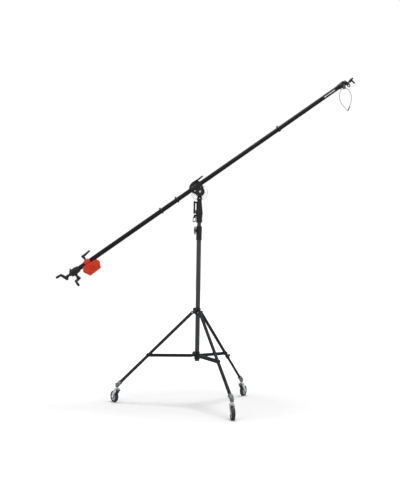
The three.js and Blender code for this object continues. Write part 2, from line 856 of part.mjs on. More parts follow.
// The yoke turns on the head's nose, about the boom's direction, and carries the lifting eye.
function tipYoke() {
  const { panHeight, face, tiltX, tiltZ } = TIP;
  const eye = { x: 1737, z: 14 };
  const ears = [-1, 1].map((side) => {
    const [y0, y1] = [side * (8 + 2 * GAP), side * 13].sort((a, b) => a - b);
    return union(
      block([1728, y0, tiltZ - 8], [tiltX, y1, tiltZ + 10]),
      rod(9, [tiltX, y0, tiltZ], [tiltX, y1, tiltZ]),
    );
  });
  const ring = new THREE.TorusGeometry(11.5, 3.2, 10, 24).rotateX(Math.PI / 2).translate(eye.x, 0, eye.z);
  const body = union(
    rod(5, [face - 11, 0, panHeight], [face + 4, 0, panHeight]),
    rod(18.5, [face + 0.6, 0, panHeight], [1733, 0, panHeight]),
    block([1724, -13, 28], [1734, 13, 50]),
    rod(3.5, [1727, 0, 66], [1727, 0, 79]),
    ...ears,
    rod(3.5, [tiltX, -15, tiltZ], [tiltX, 15, tiltZ]),
    ring,
  );
  add(boom, "tip_yoke", body, "castBlack");
}

function tipSpigot() {
  const { tiltX, tiltZ } = TIP;
  const end = [1812, 0, 51];
  const cross = [1789, 0, 45];
  const body = minus(
    union(
      rod(8, [tiltX, -8, tiltZ], [tiltX, 8, tiltZ]),
      rod(7.5, [tiltX, 0, tiltZ], end, 7.5),
      rod(11, [1763, 0, 39.2], [1793, 0, 46.4], 10),
      rod(5.5, cross, [1799, 0, 4], 6),
      ball(6.5, [1799, 0, 4]),
    ),
    rod(3.5 + GAP, [tiltX, -20, tiltZ], [tiltX, 20, tiltZ]),
  );
  add(boom, "tip_spigot", body, "castBlack");
}

// The safety cable hangs in the boom's upright plane: a teardrop from the sleeve to the end
// plate. Points are [x, z] round the column's axis on the floor.
const CABLE_ROUTE = [
  [1320.1, 2888.9],
  [1313, 2880],
  [1303, 2852],
  [1303, 2802],
  [1325, 2755],
  [1353, 2726],
  [1373, 2704],
  [1384, 2701.5],
  [1391, 2711],
  [1397, 2728],
  [1403, 2745],
  [1414, 2783],
  [1416, 2838],
  [1402, 2876],
  [1386, 2893.8],
  [1366.6, 2903.1],
];
const CABLE = { radius: 1.5, steps: 70, sides: 8 };
const CLIP = { from: [1391.6, 2712.6], to: [1400.6, 2738.2] };

function safetyCable() {
  const points = CABLE_ROUTE.map(([x, z]) => new THREE.Vector3(x, 0, z));
  const path = new THREE.CatmullRomCurve3(points, false, "centripetal");
  const section = new THREE.Shape();
  for (let i = 0; i < CABLE.sides; i++) {
    const angle = (2 * Math.PI * i) / CABLE.sides;
    const [x, y] = [CABLE.radius * Math.cos(angle), CABLE.radius * Math.sin(angle)];
    if (i === 0) section.moveTo(x, y);
    else section.lineTo(x, y);
  }
  const sweep = { steps: CABLE.steps, extrudePath: path, curveSegments: 1 };
  const wire = new THREE.ExtrudeGeometry(section, sweep);
  add(stand, "safety_cable", wire, "steelWire");

  const [from, to] = [CLIP.from, CLIP.to].map(([x, z]) => [x, 0, z]);
  const clip = minus(rod(4.5, from, to), rod(CABLE.radius + 0.7, extend(to, from), extend(from, to)));
  add(stand, "cable_clip", clip, "red");
}

// A point a little beyond b on the line from a to b.
const extend = (a, b) => b.map((v, i) => v + (v - a[i]) * 0.2);

// ---------------------------------------------------------------- assembly

column();
columnCollar();
firstRiser();
secondRiser();
legHub();
braceHub();
LEGS.forEach(leg);
knuckle();
boomClamp();
boomTube();
tailGearbox();
counterweight();
tipHead();
tipYoke();
tipSpigot();
safetyCable();

// The origin goes to the middle of the bottom of the bounding box, measured without the cable.
const hung = ["safety_cable", "cable_clip"];
const extent = new THREE.Box3();
stand.updateMatrixWorld(true);
stand.traverse((o) => {
  if (o.isMesh && !hung.includes(o.name)) extent.expandByObject(o, true);
});
const middle = extent.getCenter(new THREE.Vector3());
const part = new THREE.Group();
stand.position.set(-middle.x, -middle.y, -extent.min.z);
part.add(stand);

export default part;
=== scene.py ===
"""A wheeled studio boom stand, built round its CAD frame. Lengths in shapes are millimetres."""

import json
import math
from functools import reduce

import bmesh
import bpy
from mathutils import Matrix, Vector


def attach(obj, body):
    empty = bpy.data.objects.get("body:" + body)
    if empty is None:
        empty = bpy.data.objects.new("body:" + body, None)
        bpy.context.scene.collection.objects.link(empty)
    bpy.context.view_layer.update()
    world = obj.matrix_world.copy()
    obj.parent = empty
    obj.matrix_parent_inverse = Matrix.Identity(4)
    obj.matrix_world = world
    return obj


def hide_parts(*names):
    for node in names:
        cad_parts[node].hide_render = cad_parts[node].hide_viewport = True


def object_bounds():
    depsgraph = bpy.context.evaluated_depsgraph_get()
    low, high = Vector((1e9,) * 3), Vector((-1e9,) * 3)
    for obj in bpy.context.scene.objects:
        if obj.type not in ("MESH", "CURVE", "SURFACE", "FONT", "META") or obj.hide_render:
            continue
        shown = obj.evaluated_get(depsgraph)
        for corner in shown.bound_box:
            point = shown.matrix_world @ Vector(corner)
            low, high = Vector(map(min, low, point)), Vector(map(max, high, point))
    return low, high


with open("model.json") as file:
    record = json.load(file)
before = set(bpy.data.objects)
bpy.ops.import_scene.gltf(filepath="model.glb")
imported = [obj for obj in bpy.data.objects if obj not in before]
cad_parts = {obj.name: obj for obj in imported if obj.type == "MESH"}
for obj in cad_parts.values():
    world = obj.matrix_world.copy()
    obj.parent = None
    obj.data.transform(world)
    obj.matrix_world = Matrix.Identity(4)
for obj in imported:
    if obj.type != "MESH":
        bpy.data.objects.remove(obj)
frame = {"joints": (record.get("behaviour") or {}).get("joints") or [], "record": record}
CAD_BOX = [list(corner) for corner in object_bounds()]

RECORD = frame["record"]
JOINT = {j["name"]: j for j in frame["joints"]}
BODY_OF = {n: b for b, nodes in RECORD["behaviour"]["bodies"].items() for n in nodes}
SLOT_OF = {s["node"]: s["material_slot"] for s in RECORD["subparts"]}

# ------------------------------------------------------------------ local frames

MM = Matrix.Scale(0.001, 4)
rad = math.radians


def turn(angle, axis):
    return Matrix.Rotation(angle, 4, axis)


def joint_at(name):
    return Vector(JOINT[name]["pos_m"])


def aimed(start, end):
    """The place of a shape that stands on one point and points to another."""
    start, end = Vector(start), Vector(end)
    return Matrix.Translation(start) @ (end - start).to_track_quat("Z", "Y").to_matrix().to_4x4()


def add_object(name, data):
    made = bpy.data.objects.new(name, data)
    bpy.context.scene.collection.objects.link(made)
    return made


COLUMN = joint_at("boom_pan").xy
AXLE = joint_at("boom_tilt")
ALONG = Vector(JOINT["boom_slide"]["axis"])
STAND = Matrix.Translation((COLUMN.x, COLUMN.y, 0)) @ MM
BOOM = Matrix.Translation(AXLE) @ turn(-math.atan2(ALONG.z, ALONG.x), "Y") @ MM
LEVER_SIDE = STAND @ turn(math.atan2(*reversed(JOINT["column_knob_turn"]["axis"][:2])), "Z")
KNOB_SIDE = STAND @ turn(math.atan2(*reversed(JOINT["leg_hub_knob_turn"]["axis"][:2])), "Z")

LEAN = rad(45.2)
BRACE_DIP = rad(1.13)
LEGS = ("left", "front", "rear")


def azimuth(point):
    return math.atan2(point.y - COLUMN.y, point.x - COLUMN.x)


def radial_frame(leg):
    return STAND @ turn(azimuth(joint_at(f"leg_{leg}_fold")), "Z")


def leg_frame(leg):
    pivot = joint_at(f"leg_{leg}_fold")
    return Matrix.Translation(pivot) @ turn(azimuth(pivot), "Z") @ turn(-LEAN, "Y") @ MM


def brace_frame(leg):
    pivot = joint_at(f"brace_{leg}_fold")
    return Matrix.Translation(pivot) @ turn(azimuth(pivot), "Z") @ turn(BRACE_DIP, "Y") @ MM


def caster_frame(leg):
    stem = joint_at(f"caster_{leg}_swivel")
    wheel = joint_at(f"wheel_{leg}_spin")
    heading = math.atan2(wheel.y - stem.y, wheel.x - stem.x)
    return Matrix.Translation((stem.x, stem.y, 0)) @ turn(heading, "Z") @ MM


# ------------------------------------------------------------------ camera

VIEW_DISTANCE = 6755.0
VIEW_HEIGHT = 1088.3
VIEW_AZIMUTH = rad(-9.5)
LOOK_UP = 0.042
ROLL = 0.0153
PAN = 0.0017
LENS = 54.65


def make_camera():
    data = bpy.data.cameras.new("camera")
    data.lens = LENS
    data.sensor_width = 36
    camera = add_object("camera", data)
    right = Vector((math.cos(PAN), -math.sin(PAN), 0))
    ahead = Vector((math.cos(LOOK_UP) * math.sin(PAN), math.cos(LOOK_UP) * math.cos(PAN), math.sin(LOOK_UP)))
    up = right.cross(ahead)
    rolled_right = math.cos(ROLL) * right + math.sin(ROLL) * up
    rolled_up = math.cos(ROLL) * up - math.sin(ROLL) * right
    axes = Matrix((rolled_right, rolled_up, -ahead)).transposed().to_4x4()
    place = STAND @ turn(VIEW_AZIMUTH, "Z") @ Matrix.Translation((0, -VIEW_DISTANCE, VIEW_HEIGHT))
    camera.matrix_world = Matrix.Translation(place.translation) @ turn(VIEW_AZIMUTH, "Z") @ axes
    data.clip_end = 200
    bpy.context.scene.camera = camera


make_camera()

# ------------------------------------------------------------------ materials


class Nodes:
    """A material's node tree, with a short way to add nodes and links."""

    def __init__(self, name):
        self.material = bpy.data.materials.new(name)
        self.material.use_nodes = True
        self.tree = self.material.node_tree
        self.shader = next(n for n in self.tree.nodes if n.type == "BSDF_PRINCIPLED")

    def add(self, kind, **values):
        node = self.tree.nodes.new("ShaderNode" + kind)
        for key, value in values.items():
            if hasattr(node, key):
                setattr(node, key, value)
            else:
                node.inputs[key.replace("_", " ")].default_value = value
        return node

    def link(self, a, b):
        self.tree.links.new(a, b)

    def coordinates(self, stretch=(1, 1, 1), angle=(0, 0, 0)):
        where = self.add("TexCoord")
        mapping = self.add("Mapping", vector_type="TEXTURE")
        mapping.inputs["Rotation"].default_value = angle
        mapping.inputs["Scale"].default_value = stretch
        self.link(where.outputs["Object"], mapping.inputs["Vector"])
        return mapping.outputs["Vector"]

    def noise(self, scale, detail=3, stretch=(1, 1, 1), angle=(0, 0, 0), rough=0.55):
        node = self.add("TexNoise", Scale=scale, Detail=detail, Roughness=rough)
        self.link(self.coordinates(stretch, angle), node.inputs["Vector"])
        return node.outputs["Fac"]

    def mix(self, factor, a, b):
        node = self.add("Mix", data_type="RGBA")
        self.link(factor, node.inputs[0])
        for value, socket in ((a, node.inputs[6]), (b, node.inputs[7])):
            if isinstance(value, tuple):
                socket.default_value = (*value, 1)
            else:
                self.link(value, socket)
        return node.outputs[2]

    def spread(self, source, low, high, start=0.3, end=0.7):
        node = self.add("MapRange")
        for key, value in (("From Min", start), ("From Max", end), ("To Min", low), ("To Max", high)):
            node.inputs[key].default_value = value
        self.link(source, node.inputs["Value"])
        return node.outputs["Result"]

    def bump(self, source, strength, distance):
        node = self.add("Bump", Strength=strength, Distance=distance)
        self.link(source, node.inputs["Height"])
        return node.outputs["Normal"]


def linear(hexadecimal):
    parts = [(hexadecimal >> shift & 255) / 255 for shift in (16, 8, 0)]
    return tuple(p / 12.92 if p <= 0.04045 else ((p + 0.055) / 1.055) ** 2.4 for p in parts)


def scaled(colour, factor):
    return tuple(min(1, c * factor) for c in colour)


def finish(
    name, colour, roughness, metallic=0.0, specular=0.5, grain=(900, 0.15, 0.0002), patch=0.12, wear=None,
    brushed=None, roughness_spread=0.08,
):
    """A worn surface: patchy colour, a fine grain, streaks along a direction and paler edges.

    grain is (scale, strength, depth), wear is (edge colour, amount) and brushed is (angle, stretch).
    """
    n = Nodes(name)
    base = linear(colour)
    cloud = n.noise(9, detail=4)
    shade = n.mix(n.spread(cloud, 0, 1), scaled(base, 1 - patch), scaled(base, 1 + patch))
    specks = n.noise(260, detail=2)
    shade = n.mix(n.spread(specks, 0, 0.35, 0.55, 0.8), shade, scaled(base, 1 - 2 * patch))
    rough_source = n.noise(34, detail=5)
    if brushed is not None:
        angle, stretch = brushed
        streaks = n.noise(420, detail=3, stretch=stretch, angle=angle)
        shade = n.mix(n.spread(streaks, 0, 0.5, 0.45, 0.7), shade, scaled(base, 1 + 1.6 * patch))
        rough_source = streaks
    if wear is not None:
        worn, amount = wear
        edges = n.add("NewGeometry").outputs["Pointiness"]
        mask = n.spread(edges, 0, amount, 0.52, 0.6)
        breakup = n.spread(n.noise(120, detail=4), 0, 1, 0.42, 0.62)
        product = n.add("Math", operation="MULTIPLY")
        n.link(mask, product.inputs[0])
        n.link(breakup, product.inputs[1])
        shade = n.mix(product.outputs[0], shade, linear(worn))
    n.link(shade, n.shader.inputs["Base Color"])
    rough = n.spread(rough_source, roughness - roughness_spread, roughness + roughness_spread)
    n.link(rough, n.shader.inputs["Roughness"])
    scale, strength, depth = grain
    normal = n.bump(n.noise(scale, detail=4, rough=0.6), strength, depth)
    n.link(normal, n.shader.inputs["Normal"])
    n.shader.inputs["Metallic"].default_value = metallic
    n.shader.inputs["Specular IOR Level"].default_value = specular
    return n.material


BOOM_TURN = (0, -math.atan2(ALONG.z, ALONG.x), 0)
ALONG_BOOM = (BOOM_TURN, (60, 1, 1))
UPRIGHT = ((0, 0, 0), (1, 1, 60))

FINE_SATIN = (700, 0.06, 0.0001)
CAST_GRAIN = (900, 0.2, 0.0002)
PALE_EDGES = (0x6A6B6D, 0.3)

RECIPES = {
    "boom_black": dict(
        colour=0x19191B, roughness=0.55, specular=0.03,
        grain=(1500, 0.06, 0.0001), brushed=ALONG_BOOM, patch=0.1
    ),
    "stand_black": dict(
        colour=0x2F3032, roughness=0.45, specular=0.12,
        grain=FINE_SATIN, brushed=UPRIGHT, wear=PALE_EDGES, patch=0.08
    ),
    "cast_black": dict(
        colour=0x121214, roughness=0.46, specular=0.16, grain=(1100, 0.3, 0.0003), wear=(0x4C4D4F, 0.4)
    ),
    "knob_black": dict(colour=0x1A1A1B, roughness=0.42, specular=0.25, grain=(1600, 0.15, 0.0002)),
    "cast_grey": dict(
        colour=0x4E5053, roughness=0.46, metallic=0.2, specular=0.4,
        grain=(900, 0.4, 0.0003), wear=(0x8A8C8E, 0.5)
    ),
    "zinc": dict(
        colour=0xA8AAAD, roughness=0.32, metallic=0.8,
        grain=(500, 0.1, 0.0001), patch=0.16, wear=(0xD0D1D2, 0.4)
    ),
    "bright": dict(colour=0xFAFAFA, roughness=0.45, grain=FINE_SATIN, patch=0.06),
    "black_steel": dict(
        colour=0x0E0E10, roughness=0.45, specular=0.12, grain=(900, 0.1, 0.0001), wear=(0x55565A, 0.45)
    ),
    "tyre_grey": dict(
        colour=0x262729, roughness=0.72, specular=0.25,
        grain=(650, 0.45, 0.0004), patch=0.18, roughness_spread=0.12
    ),
    "hub_grey": dict(colour=0x929394, roughness=0.48, specular=0.35, grain=(900, 0.12, 0.0002), patch=0.06),
    "red_iron": dict(
        colour=0x9E240B, roughness=0.5, specular=0.12,
        grain=(420, 0.06, 0.0002), patch=0.04, wear=(0xD0604C, 0.45)
    ),
    "red_plastic": dict(colour=0x33060E, roughness=0.55, specular=0.05, grain=(1500, 0.1, 0.0001)),
    "wire": dict(colour=0x1A0509, roughness=0.6, specular=0.04, grain=(2600, 0.5, 0.0003)),
    "rim_dark": dict(colour=0x6A6B6D, roughness=0.5, specular=0.3, grain=CAST_GRAIN),
    "plate_dark": dict(colour=0x1C1D1F, roughness=0.45, specular=0.15, grain=CAST_GRAIN),
    "leg_black": dict(
        colour=0x1D1E20, roughness=0.6, specular=0.03, grain=FINE_SATIN, wear=PALE_EDGES, patch=0.08
    ),
    "flange": dict(colour=0x48494C, roughness=0.45, metallic=0.1, specular=0.2, grain=(900, 0.3, 0.0003)),
    "stripe": dict(colour=0xB4B4B2, roughness=0.5, specular=0.3, grain=(1500, 0.05, 0.0001), patch=0.05),
}
MATERIAL = {name: finish(name, **recipe) for name, recipe in RECIPES.items()}

# ------------------------------------------------------------------ outline helpers


NEARLY_ROUND = 6.283
SMALLEST_BEND = rad(12)


def soften(points, radius, closed=False, steps=3):
    """Rounds each corner of a line of 2-D points."""
    count = len(points)
    result = []
    for i, point in enumerate(points):
        here = Vector(point)
        if not closed and i in (0, count - 1):
            result.append(tuple(here))
            continue
        before = Vector(points[i - 1]) - here
        after = Vector(points[(i + 1) % count]) - here
        if before.length < 1e-6 or after.length < 1e-6:
            continue
        bend = math.pi - before.angle(after)
        if bend < SMALLEST_BEND:
            result.append(tuple(here))
            continue
        reach = min(radius * math.tan(bend / 2), before.length * 0.45, after.length * 0.45)
        start = here + before.normalized() * reach
        end = here + after.normalized() * reach
        for k in range(steps + 1):
            t = k / steps
            result.append(tuple(start * (1 - t) ** 2 + here * 2 * t * (1 - t) + end * t * t))
    return result


def circle(radius, count, centre=(0, 0), start=0.0, end=2 * math.pi):
    whole = end - start > NEARLY_ROUND
    steps = count if whole else count - 1
    return [
        (
            centre[0] + radius * math.cos(start + (end - start) * k / steps),
            centre[1] + radius * math.sin(start + (end - start) * k / steps),
        )
        for k in range(count)
    ]


def hull(*discs, count=24):
    """The outline round discs given as (x, z, radius), in order anticlockwise."""
    outline = []
    for i, (x, z, r) in enumerate(discs):
        px, pz, pr = discs[i - 1]
        nx, nz, nr = discs[(i + 1) % len(discs)]

        def normal_angle(ax, az, ar, bx, bz, br):
            along = math.atan2(bz - az, bx - ax)
            distance = math.hypot(bx - ax, bz - az)
            return along - math.pi / 2 - math.asin((br - ar) / distance)

        first = normal_angle(px, pz, pr, x, z, r)
        last = normal_angle(x, z, r, nx, nz, nr)
        while last < first - 1e-6:
            last += 2 * math.pi
        outline += circle(r, max(3, int(count * (last - first) / NEARLY_ROUND) + 2), (x, z), first, last)
    return outline


# ------------------------------------------------------------------ solids


class Solid:
    """A closed mesh in millimetres. + joins two solids into one skin, and - cuts one from another."""

    def __init__(self, mesh):
        self.mesh = mesh

    def at(self, matrix):
        self.mesh.transform(matrix)
        return self

    def move(self, x=0.0, y=0.0, z=0.0):
        return self.at(Matrix.Translation((x, y, z)))

    def copy(self):
        return Solid(self.mesh.copy())

    def along_x(self, z=0.0):
        """Turns a solid of revolution about Z to lie along X at a height."""
        return self.at(Matrix.Translation((0, 0, z)) @ turn(math.pi / 2, "Y"))

    def combine(self, other, operation):
        a, b = (add_object("temporary", m) for m in (self.mesh, other.mesh))
        modifier = a.modifiers.new("boolean", "BOOLEAN")
        modifier.operation = operation
        modifier.solver = "EXACT"
        modifier.object = b
        bpy.context.view_layer.update()
        made = bpy.data.meshes.new_from_object(a.evaluated_get(bpy.context.evaluated_depsgraph_get()))
        for o in (a, b):
            bpy.data.objects.remove(o)
        if not made.polygons:
            raise ValueError("two solids combined into nothing")
        return Solid(made)

    def __add__(self, other):
        return self.combine(other, "UNION")

    def __sub__(self, other):
        return self.combine(other, "DIFFERENCE")


def solid_from(bm):
    bmesh.ops.remove_doubles(bm, verts=bm.verts, dist=1e-4)
    bmesh.ops.recalc_face_normals(bm, faces=bm.faces)
    mesh = bpy.data.meshes.new("shape")
    bm.to_mesh(mesh)
    bm.free()
    return Solid(mesh)


def lathe(profile, soft=0.8, segments=56):
    """Turned about Z from (radius, z) points. It starts and ends on the axis, or closes on itself."""
    closed = Vector(profile[0]).to_tuple(4) == Vector(profile[-1]).to_tuple(4)
    points = soften(profile[:-1] if closed else profile, soft, closed)
    bm = bmesh.new()
    rings = []
    for r, z in points:
        if r < 1e-5:
            rings.append([bm.verts.new((0, 0, z))])
            continue
        angles = [2 * math.pi * k / segments for k in range(segments)]
        rings.append([bm.verts.new((r * math.cos(a), r * math.sin(a), z)) for a in angles])
    pairs = list(zip(rings, rings[1:] + rings[:1] if closed else rings[1:]))
    for a, b in pairs:
        for k in range(segments):
            corners = [a[k % len(a)], a[(k + 1) % len(a)], b[(k + 1) % len(b)], b[k % len(b)]]
            face = list(dict.fromkeys(corners))
            if len(face) > 2:
                bm.faces.new(face)
    return solid_from(bm)


def wall(outer, inner, a, b):
    return [(inner, a), (outer, a), (outer, b), (inner, b), (inner, a)]


def bar(radius, start, end, far_radius=None, soft=0.8, segments=28):
    """A round bar from one point to another."""
    length = (Vector(end) - Vector(start)).length
    far = radius if far_radius is None else far_radius
    return lathe([(0, 0), (radius, 0), (far, length), (0, length)], soft, segments).at(aimed(start, end))


def across(radius, x, z, reach, soft=0.8, segments=28):
    """A round bar along Y that reaches as far on both sides."""
    return bar(radius, (x, -reach, z), (x, reach, z), soft=soft, segments=segments)


def hole(radius, start, end, segments=28):
    """A bar with sharp rims, for cutting."""
    return bar(radius, start, end, soft=0, segments=segments)


def cross_hole(radius, x, z, reach, segments=28):
    return across(radius, x, z, reach, soft=0, segments=segments)


def joined(solids):
    """One skin round several solids."""
    return reduce(Solid.__add__, solids)


def ball(radius, centre, squash=1.0):
    points = [(radius * math.cos(rad(a)), squash * radius * math.sin(rad(a))) for a in range(-90, 91, 10)]
    points[0], points[-1] = (0, points[0][1]), (0, points[-1][1])
    return lathe(points, 0, 28).move(*centre)


def bevel(bm, edges, offset):
    bmesh.ops.bevel(
        bm, geom=edges, offset=offset, segments=2, profile=0.5, affect="EDGES", clamp_overlap=True
    )


def prism(outline, y0, y1, edge=0.8):
    """An outline in the XZ plane carried from y0 to y1, with rounded rims."""
    bm = bmesh.new()
    near = [bm.verts.new((x, y0, z)) for x, z in outline]
    far = [bm.verts.new((x, y1, z)) for x, z in outline]
    count = len(outline)
    bm.faces.new(near)
    bm.faces.new(far[::-1])
    for k in range(count):
        m = (k + 1) % count
        bm.faces.new((near[k], far[k], far[m], near[m]))
    if edge:
        rims = [e for e in bm.edges if (e.verts[0].co.y == e.verts[1].co.y)]
        bevel(bm, rims, edge)
    return solid_from(bm)


def block(low, high, edge=0.8):
    bm = bmesh.new()
    size = [h - a for a, h in zip(low, high)]
    middle = [(h + a) / 2 for a, h in zip(low, high)]
    bmesh.ops.create_cube(bm, size=1, matrix=Matrix.Translation(middle) @ Matrix.Diagonal((*size, 1)))
    if edge:
        bevel(bm, bm.edges[:], edge)
    return solid_from(bm)


def sweep(points, radii, segments=20, rounds=2):
    """A round bar bent along points, with its corners rounded."""
    path = [Vector(p) for p in points]
    sizes = [radii] * len(path) if isinstance(radii, (int, float)) else list(radii)
    for _ in range(rounds):
        new_path, new_sizes = [path[0]], [sizes[0]]
        for (a, ra), (b, rb) in zip(zip(path, sizes), zip(path[1:], sizes[1:])):
            for t in (0.25, 0.75):
                new_path.append(a.lerp(b, t))
                new_sizes.append(ra + (rb - ra) * t)
        path, sizes = new_path + [path[-1]], new_sizes + [sizes[-1]]
    bm = bmesh.new()
    side = (path[1] - path[0]).orthogonal().normalized()
    rings = []
    for i, point in enumerate(path):
        tangent = (path[min(i + 1, len(path) - 1)] - path[max(i - 1, 0)]).normalized()
        side = (side - tangent * side.dot(tangent)).normalized()
        other = tangent.cross(side)
        ring = []
        for k in range(segments):
            angle = 2 * math.pi * k / segments
            spoke = side * math.cos(angle) + other * math.sin(angle)
            ring.append(bm.verts.new(point + sizes[i] * spoke))
        rings.append(ring)
    for a, b in zip(rings, rings[1:]):
        for k in range(segments):
            m = (k + 1) % segments
            bm.faces.new((a[k], a[m], b[m], b[k]))
    bm.faces.new(rings[0][::-1])
    bm.faces.new(rings[-1])
    return solid_from(bm)


def hex_head(radius, start, end):
    """A six-sided bolt head or nut between two points."""
    length = (Vector(end) - Vector(start)).length
    made = prism(circle(radius, 6), 0, length, 0.9).at(turn(math.pi / 2, "X"))
    return made.at(aimed(start, end))


def lobed(radius, lobes, depth):
    """A knob's wavy outline."""
    outline = []
    for k in range(lobes * 10):
        a = 2 * math.pi * k / (lobes * 10)
        r = radius - depth * (0.5 - 0.5 * math.cos(lobes * a)) ** 2
        outline.append((r * math.cos(a), r * math.sin(a)))
    return outline


# ------------------------------------------------------------------ pieces


def piece(name, shape, place, owner, material=None, slot=None, replaces=(), angle=32):
    """Places a solid in the row frame, and makes it ride on its owner node's body."""
    mesh = shape.mesh
    mesh.transform(place)
    mesh.materials.clear()
    slot = slot or SLOT_OF[owner]
    mesh.materials.append(material or MATERIAL[slot])
    for polygon in mesh.polygons:
        polygon.use_smooth = True
        polygon.material_index = 0
    mesh.set_sharp_from_angle(angle=rad(angle))
    mesh.name = name
    made = add_object(name, mesh)
    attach(made, BODY_OF[owner])
    if replaces:
        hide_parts(*replaces)
    return made


def show(node, shape, place, **options):
    """The piece that stands for a CAD node."""
    return piece(node + "_form", shape, place, node, replaces=(node,), **options)


def knob(node, radius, thickness, start, tip, z, place):
    """A six-lobed clamp knob along +X, with its steel screw."""
    rim = thickness * 0.2
    grip = prism(lobed(radius, 6, radius * 0.12), -(thickness - rim), 0, thickness * 0.13)
    grip.at(Matrix.Translation((start + rim, 0, z)) @ turn(math.pi / 2, "Z"))
    neck_outline = [(0, 0), (radius * 0.5, 0), (radius * 0.78, rim + 0.5), (0, rim + 0.5)]
    neck = lathe(neck_outline, 0.8, 40).along_x(z).move(start)
    dish = [
        (0, 0), (radius * 0.5, 0), (radius * 0.44, 1.6), (radius * 0.3, 1.9), (radius * 0.26, 1.0), (0, 1.0),
    ]
    cap = lathe(dish, 0.4, 40).along_x(z).move(start + thickness - 1.7)
    bore = hole(4.1, (start - 2, 0, z), (start + rim, 0, z))
    show(node, grip + neck + cap - bore, place)
    turns = [(0, tip)]
    x = tip
    while x < start + rim - 1.4:
        turns += [(3.4, x + 0.1), (4.0, x + 0.5), (3.4, x + 1.0)]
        x += 1.0
    turns.append((0, start + rim - 0.5))
    thread = lathe(turns, 0, 20).along_x(z)
    piece(node + "_screw", thread, place, node, slot="zinc")


# ------------------------------------------------------------------ cord, made first

CABLE_ROUTE = [
    (1320.1, 2888.9), (1313, 2880), (1303, 2852), (1303, 2802), (1325, 2755),
    (1353, 2726), (1373, 2704), (1384, 2701.5), (1391, 2711), (1397, 2728),
    (1403, 2745), (1414, 2783), (1416, 2838), (1402, 2876), (1386, 2893.8),
    (1366.6, 2903.1),
]
CABLE_RADIUS = 2.0


def centripetal(points, per_span=12):
    """Points on the smooth line through some points, the same line that the CAD's cable follows."""
    ends = [points[0] * 2 - points[1], *points, points[-1] * 2 - points[-2]]
    line = []
    for a, b, c, d in zip(ends, ends[1:], ends[2:], ends[3:]):
        knots = [0.0]
        for p, q in ((a, b), (b, c), (c, d)):
            knots.append(knots[-1] + math.sqrt((q - p).length))
        for k in range(per_span):
            t = knots[1] + (knots[2] - knots[1]) * k / per_span

            def blend(p, q, i, j):
                return (p * (knots[j] - t) + q * (t - knots[i])) / (knots[j] - knots[i])

            first, second, third = blend(a, b, 0, 1), blend(b, c, 1, 2), blend(c, d, 2, 3)
            early, late = blend(first, second, 0, 2), blend(second, third, 1, 3)
            line.append(blend(early, late, 1, 2))
    line.append(points[-1])
    return line


def safety_cable():
    route = [STAND @ Vector((x, 0, z)) for x, z in CABLE_ROUTE]
    line = centripetal(route)
    curve = bpy.data.curves.new("safety_cable_form", "CURVE")
    curve.dimensions = "3D"
    curve.bevel_depth = CABLE_RADIUS / 1000
    curve.bevel_resolution = 4
    curve.use_fill_caps = True
    spline = curve.splines.new("POLY")
    spline.points.add(len(line) - 1)
    for point, place in zip(spline.points, line):
        point.co = (*place, 1)
    curve.materials.append(MATERIAL["wire"])
    cable = add_object("safety_cable_form", curve)
    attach(cable, BODY_OF["safety_cable"])
    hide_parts("safety_cable")
    start, end = (STAND @ Vector((x, 0, z)) for x, z in ((1384.6, 2697.4), (1400.6, 2738.2)))
    span = (end - start).length * 1000
    profile = [(2.4, 0), (4, 0), (4.8, 1.4)]
    for k in range(7):
        z = 4 + k * 5.4
        profile += [(4.8, z), (4, z + 0.7), (4, z + 2.2), (4.8, z + 2.9)]
    profile += [(4.8, span - 1.4), (4, span), (2.4, span), (2.4, 0)]
    sleeve = lathe(profile, 0.3, 32)
    clip = show("cable_clip", sleeve, aimed(start, end) @ MM)
    length = sum((b - a).length for a, b in zip(line, line[1:]))


safety_cable()

# ------------------------------------------------------------------ column and risers


def column():
    tube = lathe([(0, 390), (20, 390), (20, 1530), (18, 1530), (18, 400), (0, 400)], 0.6, 72)
    show("column_tube", tube, STAND)
    foot = lathe([(0, 388), (14, 388), (19, 389), (20.6, 391), (20.6, 397), (19.9, 398), (0, 398)], 0.6, 60)
    piece("column_foot_cap", foot, STAND, "column_tube", slot="knob_black")


def column_collar():
    knob_z = 1545.5
    ring = lathe([
        (20.4, 1462), (25.4, 1462), (26, 1464), (26, 1475), (24.6, 1479), (24.6, 1492), (24, 1493),
        (24, 1495), (24.6, 1496), (24.6, 1521), (25.8, 1527), (26, 1530), (26, 1575), (25.2, 1577),
        (26, 1579), (26, 1581), (24.4, 1583), (17.9, 1583), (17.9, 1531), (20.4, 1531), (20.4, 1462),
    ], 0.7, 72)
    lug = block((15, -11, knob_z - 15), (28.5, 11, knob_z + 15), 3) - hole(22, (0, 0, 1500), (0, 0, 1600))
    slit = block((15, -0.8, knob_z - 22), (40, 0.8, 1590), 0) - hole(4.6, (10, 0, knob_z), (40, 0, knob_z))
    collar = ring + lug - slit.at(turn(math.pi, "Z")) - hole(4.3, (14, 0, knob_z), (32, 0, knob_z))
    show("column_collar", collar, LEVER_SIDE)
    column_knob(knob_z)
    for z in (1488, 1537):
        screw = hex_head(4.2, (0, 24.3, z), (0, 27.2, z))
        screw_back = hex_head(4.2, (0, -24.3, z), (0, -27.2, z))
        piece(f"collar_screw_{z}", screw + screw_back, LEVER_SIDE, "column_collar", slot="black_steel")


